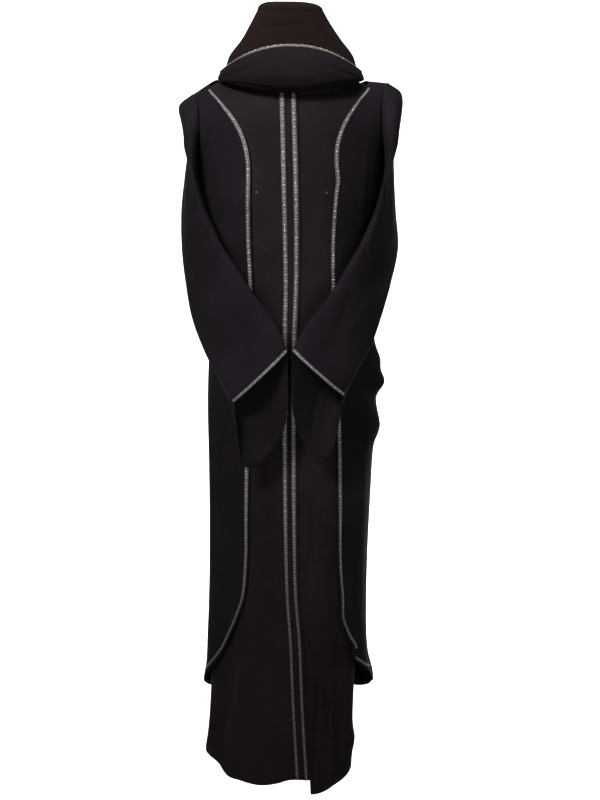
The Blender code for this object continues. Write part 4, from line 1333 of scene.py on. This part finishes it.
# %% Profile of the plait
PLAIT_PROFILE = rows(
    "across high",
    (-0.5, 0.0), (-0.5, 0.55), (-0.42, 1.0), (-0.31, 0.7), (-0.16, 0.8), (0.0, 0.86), (0.16, 0.8),
    (0.31, 0.7), (0.42, 1.0), (0.5, 0.55), (0.5, 0.0),
)
PLAIT_THICK = 0.0013
PLAIT_BEAT = 0.00625
STEPS_PER_BEAT = 4
PLAIT_STEP = PLAIT_BEAT / STEPS_PER_BEAT
EDGE_SWELL = 0.14
EDGE_LAG = 1.6
EDGE_PULL = 0.05
EDGE_FROM = 0.4


def plait(name, line, width, material):
    """The woven strip of a braid along a track, with edges that swell to the plait's beat."""
    beat = 2 * np.pi * np.arange(len(line.points)) * PLAIT_STEP / PLAIT_BEAT
    across = np.array([edge.across for edge in PLAIT_PROFILE])[None] * width[:, None]
    high = np.array([edge.high for edge in PLAIT_PROFILE]) * PLAIT_THICK
    swell = 1 + EDGE_SWELL * np.cos(beat[:, None] * 2 + np.sign(across) * EDGE_LAG)
    at_edge = np.abs(across) > EDGE_FROM * width[:, None]
    narrow = 1 - EDGE_PULL * (1 + np.cos(beat[:, None] * 2)) * at_edge
    sideways = np.cross(line.out, line.along)
    points = line.points[:, None] + sideways[:, None] * (across * narrow)[..., None]
    points = points + line.out[:, None] * (high * swell)[..., None]
    count, columns = points.shape[:2]
    faces = grid_faces(count, columns, True).tolist()
    faces.append(tuple(range(columns)))
    faces.append(tuple((count - 1) * columns + c for c in reversed(range(columns))))
    piece = new_piece(name, points, faces, material)
    work = bmesh.new()
    work.from_mesh(piece.data)
    bmesh.ops.recalc_face_normals(work, faces=work.faces)
    work.to_mesh(piece.data)
    work.free()
    return piece


print("beat of the plait:", PLAIT_BEAT * 1000, "mm")

# %% Beads
BEAD_SIDES = 10
BEAD_RINGS = 6


def unit_bead():
    """The points and faces of a round bead of radius 1, as rings between two poles."""
    points = [(0.0, 0.0, 1.0)]
    for ring in range(1, BEAD_RINGS):
        tilt = math.pi * ring / BEAD_RINGS
        wide = math.sin(tilt)
        for side in range(BEAD_SIDES):
            angle = 2 * math.pi * side / BEAD_SIDES
            points.append((wide * math.cos(angle), wide * math.sin(angle), math.cos(tilt)))
    points.append((0.0, 0.0, -1.0))
    faces = [(0, 1 + s, 1 + (s + 1) % BEAD_SIDES) for s in range(BEAD_SIDES)]
    for ring in range(BEAD_RINGS - 2):
        a = 1 + ring * BEAD_SIDES
        for s in range(BEAD_SIDES):
            t = (s + 1) % BEAD_SIDES
            faces.append((a + s, a + BEAD_SIDES + s, a + BEAD_SIDES + t, a + t))
    bottom = len(points) - 1
    a = bottom - BEAD_SIDES
    faces += [(bottom, a + (s + 1) % BEAD_SIDES, a + s) for s in range(BEAD_SIDES)]
    return np.array(points), faces


BEAD_POINTS, BEAD_FACES = unit_bead()


def beads(name, slot, places, along, out, sizes, material):
    """One mesh of many beads; sizes are half lengths along the line, across it and out of it."""
    across = np.cross(out, along)
    shaped = BEAD_POINTS[None] * sizes[:, None]
    points = places[:, None] + shaped[..., :1] * along[:, None]
    points = points + shaped[..., 1:2] * across[:, None] + shaped[..., 2:] * out[:, None]
    starts = [k * len(BEAD_POINTS) for k in range(len(places))]
    faces = [tuple(start + c for c in face) for start in starts for face in BEAD_FACES]
    piece = new_piece(name, points, faces, material)
    ready(piece, slot)
    return piece


print("triangles in a bead:", sum(len(face) - 2 for face in BEAD_FACES))

# %% [markdown]
# ## Silver thread and silver beads
# The plait is dull metal thread that has greyed in its hollows. The beads are brighter and catch the
# lamps. Both share one mask group that darkens the metal in small tarnished spots. Lower down, the
# same mask darkens the metal more and more towards the hem as painted shade, where the light falls
# off.

# %% Metal materials
SPOT_STARTS = 0.38
SPOT_FULL = 0.66
PAINTED_SHADE_STARTS = -0.55
PAINTED_SHADE_FULL = -1.15
PAINTED_SHADE_MOST = 0.88


def tarnish_and_shade_group():
    """A mask from 0, bright, to 1, dark: small uneven tarnished spots, and painted shade that grows
    towards the hem.
    """
    group, enter, leave, place = new_group("tarnish", {"Spot Size": 0.004, "Amount": 0.5}, ["Mask"])
    noise = noise_node(group, place, enter.outputs["Spot Size"], Detail=3.0)
    spots = soft_range(group, noise, SPOT_STARTS, SPOT_FULL)
    spots = math_node(group, "MULTIPLY", spots, enter.outputs["Amount"])
    # Painted shade: the metal darkens more and more towards the hem, where the light falls off.
    parted = add_node(group, "ShaderNodeSeparateXYZ")
    join(group, place, parted.inputs["Vector"])
    low = soft_range(group, parted.outputs["Z"], PAINTED_SHADE_STARTS, PAINTED_SHADE_FULL, PAINTED_SHADE_MOST)
    join(group, math_node(group, "MAXIMUM", spots, low), leave.inputs["Mask"])
    return group


TARNISH_AND_SHADE = tarnish_and_shade_group()
# dull is the colour where the mask is full: tarnished metal in spots, and painted shade near the hem.
METALS = rows(
    "name bright dull spot amount roughness metal thread_depth",
    ("silver_plait", (0.068, 0.063, 0.061), (0.027, 0.0235, 0.0215), 0.003, 0.9, 0.50, 0.4, 0.0004),
    ("silver_beads", (0.24, 0.228, 0.222), (0.09, 0.081, 0.075), 0.012, 0.7, 0.34, 0.5, 0.0),
)
TARNISH_AND_SHADE_ROUGHER = 0.2


def silver_material(metal):
    material, tree, shader = new_material(metal.name)
    mask = place_group(tree, TARNISH_AND_SHADE, Spot_Size=metal.spot, Amount=metal.amount)["Mask"]
    # The mask gives tarnished spots, and painted shade towards the hem.
    two_tones(tree, shader, mask, metal.bright, metal.dull)
    rough = math_node(tree, "MULTIPLY_ADD", mask, TARNISH_AND_SHADE_ROUGHER, metal.roughness)
    join(tree, rough, shader.inputs["Roughness"])
    settle_inputs(shader, Metallic=metal.metal)
    if metal.thread_depth:
        grain = place_group(tree, CREPE_GRAIN, Thread_Size=0.0005, Pebble_Size=0.0009)
        add_bump(tree, shader, grain["Height"], Distance=metal.thread_depth)
    return material


SILVER_PLAIT, SILVER_BEADS = [silver_material(metal) for metal in METALS]
print("metals:", [metal.name for metal in METALS])

# %% Sewing a braid on
LARGE_BEAD = (0.0029, 0.0026, 0.0021)
SMALL_BEAD = (0.0018, 0.0018, 0.0014)
FIRST_BEAD = 2
BEAD_SEAT = 0.86
BEAD_STANDS = 0.45
SLIM_FROM = -0.70
SLIM_TO = -1.10
SLIM_SHARE = 0.68


def sew_braid(name, nodes, line, widest, narrowed=0.0):
    """A braid on a track: its plait, and its row of large and small beads."""
    slim = ease_in((SLIM_FROM - line.points[:, 2]) / (SLIM_FROM - SLIM_TO))
    share = widest * (1 - (1 - SLIM_SHARE) * slim) * (1 - narrowed)
    strip = plait(name, line, BRAID_WIDTH * share, SILVER_PLAIT)
    ready(strip, "braid", *nodes)
    chosen = np.arange(FIRST_BEAD, len(line.points) - 1, STEPS_PER_BEAT)
    large = (np.arange(len(chosen)) % 2 == 0)[:, None]
    sizes = np.where(large, LARGE_BEAD, SMALL_BEAD) * share[chosen][:, None]
    out = line.out[chosen]
    places = line.points[chosen] + out * (PLAIT_THICK * BEAD_SEAT + sizes[:, 2:] * BEAD_STANDS)
    row = beads(f"{name}_beads", "braid", places, line.along[chosen], out, sizes, SILVER_BEADS)
    print(name, "length:", round(line.length, 3), "beads:", len(chosen))
    return [strip, row]


print("large bead:", LARGE_BEAD, "small bead:", SMALL_BEAD)

# %% Braids of the dress and the coat
BRAID_LIFT = SEAM_GAP
SIDE_LIMIT = math.radians(87)
SKIRT_POINTS = 900
CENTRE_SHARE = 0.9
COAT_SHARE = 0.84
COAT_NARROWED = 0.4
NARROW_ABOVE = -0.07
NARROW_WITHIN = 0.05


def body_track(layer, hem, line, rises, low=-math.inf, high=math.inf):
    """A track up a layer along one of its lines, between two heights."""
    turn, z = settle(layer, rises, hem, False, line)
    if hem is COAT_FRONT_HEM:
        turn = np.clip(turn, -SIDE_LIMIT, SIDE_LIMIT)
    run = (z > low) & (z < high)
    return track(SURFACES[layer], turn[run], drop_of(layer, turn, z)[run], -1, PLAIT_STEP, BRAID_LIFT)


def fine_rises(low, high, chest_points):
    """Rises from low up to the underarm, which is 1, and on to high."""
    skirt = np.linspace(low, 1, SKIRT_POINTS)[:-1]
    return np.concatenate([skirt, np.linspace(1, high, chest_points)])


CENTRE_RISES = fine_rises(0, 1.93, 200)
dress_braids = []
for name in SIGNS:
    line = body_track("dress", RIGHT_FRONT_HEM, centre_line(name, 0.0), CENTRE_RISES)
    dress_braids += sew_braid(f"centre_braid_{name}", [f"braid_centre_{name}"], line, CENTRE_SHARE)

EDGE_RISES = fine_rises(0.022, 1.76, 260)
COAT_RUNS = rows(
    "side part low high nodes",
    ("right", "", -1.3, 0.1, ["braid_coat_right"]),
    ("left", "", -1.143, 0.1, ["braid_coat_left"]),
    ("left", "_low", -1.3, -1.160, []),
)
coat_braids = {"right": [], "left": []}
for run in COAT_RUNS:
    edge = coat_edge(run.side, SIGNS[run.side], BRAID_WIDTH / 2)
    line = body_track("coat", COAT_FRONT_HEM, edge, EDGE_RISES, run.low, run.high)
    narrowed = COAT_NARROWED * ease_in((line.points[:, 2] - NARROW_ABOVE) / NARROW_WITHIN)
    name = f"coat_edge_braid_{run.side}{run.part}"
    coat_braids[run.side] += sew_braid(name, run.nodes, line, COAT_SHARE, narrowed)

# %% Braids of the cuffs and the hood
CUFF_INSET = BRAID_WIDTH / SLEEVE_LENGTH * 0.35
CUFF_SHARE = 0.6
CUFF_RUNS = rows("layer start end", ("front", 0.03, 0.47), ("back", 0.56, 0.86))
RING_POINTS = 400
HOOD_EDGE = 0.962
HOOD_INSET = 0.02
HOOD_POINTS = 500
HOOD_SHARE = 0.7
HOOD_NARROWED = 0.5
HOOD_PLAIN = 0.06


def cowl_turns(inset, count):
    return np.linspace(inset - COWL_END, COWL_END - inset, count)


cuff_braids = {"right": [], "left": []}
for name, (surface, sign) in SLEEVE_SURFACES.items():
    for run in CUFF_RUNS:
        nodes = [f"braid_cuff_{name}"] if run.layer == "front" else []
        around = np.linspace(run.start, run.end, RING_POINTS)
        line = track(surface, 1 - CUFF_INSET, around, sign, PLAIT_STEP, BRAID_LIFT)
        cuff_braids[name] += sew_braid(f"cuff_braid_{name}_{run.layer}", nodes, line, CUFF_SHARE)

turn = cowl_turns(HOOD_INSET, HOOD_POINTS)
line = track(cowl_surface, turn, HOOD_EDGE, 1, PLAIT_STEP, BRAID_LIFT)
narrowed = HOOD_NARROWED * ease_in((np.abs(line.points[:, 0]) - HOOD_PLAIN) / HOOD_PLAIN)
hood_braids = sew_braid("hood_edge_braid", ["braid_hood"], line, HOOD_SHARE, narrowed)

# %% [markdown]
# ## Sewing
# Small stitches show how the kaftan is made: a row above each hem, a row beside the placket, rows
# along the side seams, the armholes and the neckline. A stitch is a short thread with round ends,
# half sunk into the cloth. Hundreds of them are one mesh.

# %% Thread and stitches
THREAD_DEEP = (0.004, 0.004, 0.005)
THREAD_WORN = (0.010, 0.0095, 0.011)
BLACK_THREAD, tree, shader = new_material("black_thread")
wear = place_group(tree, SOFT_WEAR, Patch_Size=0.03, Rub_Size=0.004)
two_tones(tree, shader, wear["Rubbed"], THREAD_DEEP, THREAD_WORN)
settle_inputs(shader, Roughness=0.7, Specular_IOR_Level=0.1)

STITCH_STEP = 0.0042
STITCH_SIZE = (0.0014, 0.00028, 0.00026)


def stitches(name, lines):
    """Rows of stitches along tracks that were made with the stitch's own step."""
    places = np.concatenate([line.points for line in lines])
    along = np.concatenate([line.along for line in lines])
    out = np.concatenate([line.out for line in lines])
    sizes = np.tile(STITCH_SIZE, (len(places), 1))
    print(name, "stitches:", len(places))
    return beads(name, "coat_cloth", places, along, out, sizes, BLACK_THREAD)


print("stitch every", STITCH_STEP * 1000, "mm")

# %% Hems and seams of the body
HEM_RISE = 0.0125
HEM_POINTS = 240
SEAM_POINTS = 500
PLACKET_SEWN = PLACKET_MARGIN - 0.0022
COAT_SEWN = BRAID_WIDTH + 0.002


def hem_row(layer, hem, start, end, behind=False):
    """A row of stitches above a hem, between two turns in degrees."""
    turn = np.linspace(math.radians(start), math.radians(end), HEM_POINTS)
    z = settle(layer, np.full(HEM_POINTS, HEM_RISE), hem, behind, lambda z, rise: turn)[1]
    return track(SURFACES[layer], turn, drop_of(layer, turn, z), -1, STITCH_STEP)


def upright_row(layer, hem, line, low, high):
    turn, z = settle(layer, np.linspace(low, high, SEAM_POINTS), hem, False, line)
    return track(SURFACES[layer], turn, drop_of(layer, turn, z), -1, STITCH_STEP)


def beside_seam(degrees):
    return lambda z, rise: np.full(np.shape(z), math.radians(degrees))


dress_rows = [
    hem_row("dress", RIGHT_FRONT_HEM, -88, 0),
    hem_row("dress", LEFT_FRONT_HEM, 22, 88),
    hem_row("dress", BACK_HEM, 92, 268, True),
    upright_row("dress", RIGHT_FRONT_HEM, centre_line("left", PLACKET_SEWN), 0.01, 1.9),
    upright_row("dress", RIGHT_FRONT_HEM, beside_seam(-87.5), 0.01, 0.99),
    upright_row("dress", LEFT_FRONT_HEM, beside_seam(87.5), 0.01, 0.99),
]
dress_stitches = stitches("dress_stitches", dress_rows)

coat_rows = [hem_row("coat", COAT_BACK_HEM, 93, 267, True)]
for degrees in (-92.5, 92.5):
    coat_rows.append(upright_row("coat", COAT_BACK_HEM, beside_seam(degrees), 0.02, 0.99))
for name, side in SIGNS.items():
    coat_rows.append(upright_row("coat", COAT_FRONT_HEM, coat_edge(name, side, COAT_SEWN), 0.06, 1.98))
coat_stitches = stitches("coat_stitches", coat_rows)

# %% Armholes, cuffs and neckline
RING_PLACES = (0.012, 1 - 2.3 * CUFF_INSET)
CROWN_SEWN = 0.02
COWL_SEWN = 0.90
COWL_SEWN_INSET = 0.03
CROWN_SEWN_TURNS = (math.radians(70), math.radians(290))
around = np.linspace(0, 1, RING_POINTS)
for name, (surface, sign) in SLEEVE_SURFACES.items():
    rings = [track(surface, along, around, sign, STITCH_STEP, closed=True) for along in RING_PLACES]
    stitches(f"sleeve_stitches_{name}", rings)

seam = np.linspace(*CROWN_SEWN_TURNS, RING_POINTS)
edge = cowl_turns(COWL_SEWN_INSET, RING_POINTS)
hood_rows = [
    track(crown_surface, seam, CROWN_SEWN, 1, STITCH_STEP),
    track(cowl_surface, edge, COWL_SEWN, 1, STITCH_STEP),
]
hood_stitches = stitches("hood_stitches", hood_rows)

# %% [markdown]
# ## Two small studs
# At the bust, just inside the coat's edges, two small silver studs sit on the dress. They look like
# the heads of the snaps that hold the coat's edges in place. A fine row of thread runs from each
# towards the centre.

# %% Studs at the bust
STUDS = rows("x z towards", (-0.0646, -0.1995, -0.030), (0.0692, -0.2010, 0.034))
STUD_SIZE = (0.0022, 0.0022, 0.0014)
THREAD_POINTS = 60
THREAD_SKIPS = 2
threads = []
for stud in STUDS:
    turn = turn_at("dress", np.linspace(stud.x, stud.towards, THREAD_POINTS), stud.z)
    under = under_placket(turn[0]) if stud.x > 0 else 0.0
    drop = drop_of("dress", turn, stud.z)
    threads.append(track(SURFACES["dress"], turn, drop, -1, STITCH_STEP, under))
starts = np.array([[line.points[0], line.along[0], line.out[0]] for line in threads])
places, along, out = starts.transpose(1, 0, 2)
places = places + out * STUD_SIZE[2] * 0.5
studs = beads("bust_studs", "braid", places, along, out, np.tile(STUD_SIZE, (2, 1)), SILVER_PLAIT)
shorter = [Track(*[part[THREAD_SKIPS:] for part in line[:3]], line.length) for line in threads]
stud_threads = stitches("stud_threads", shorter)
print("studs:", len(places))

# %% [markdown]
# ## What each cloth was cut from
# The sizes that each panel of the body and the hood's front were cut to are measured on their grids
# and printed as each is made: the widest row, the longest column and the area.


print("every piece is built")
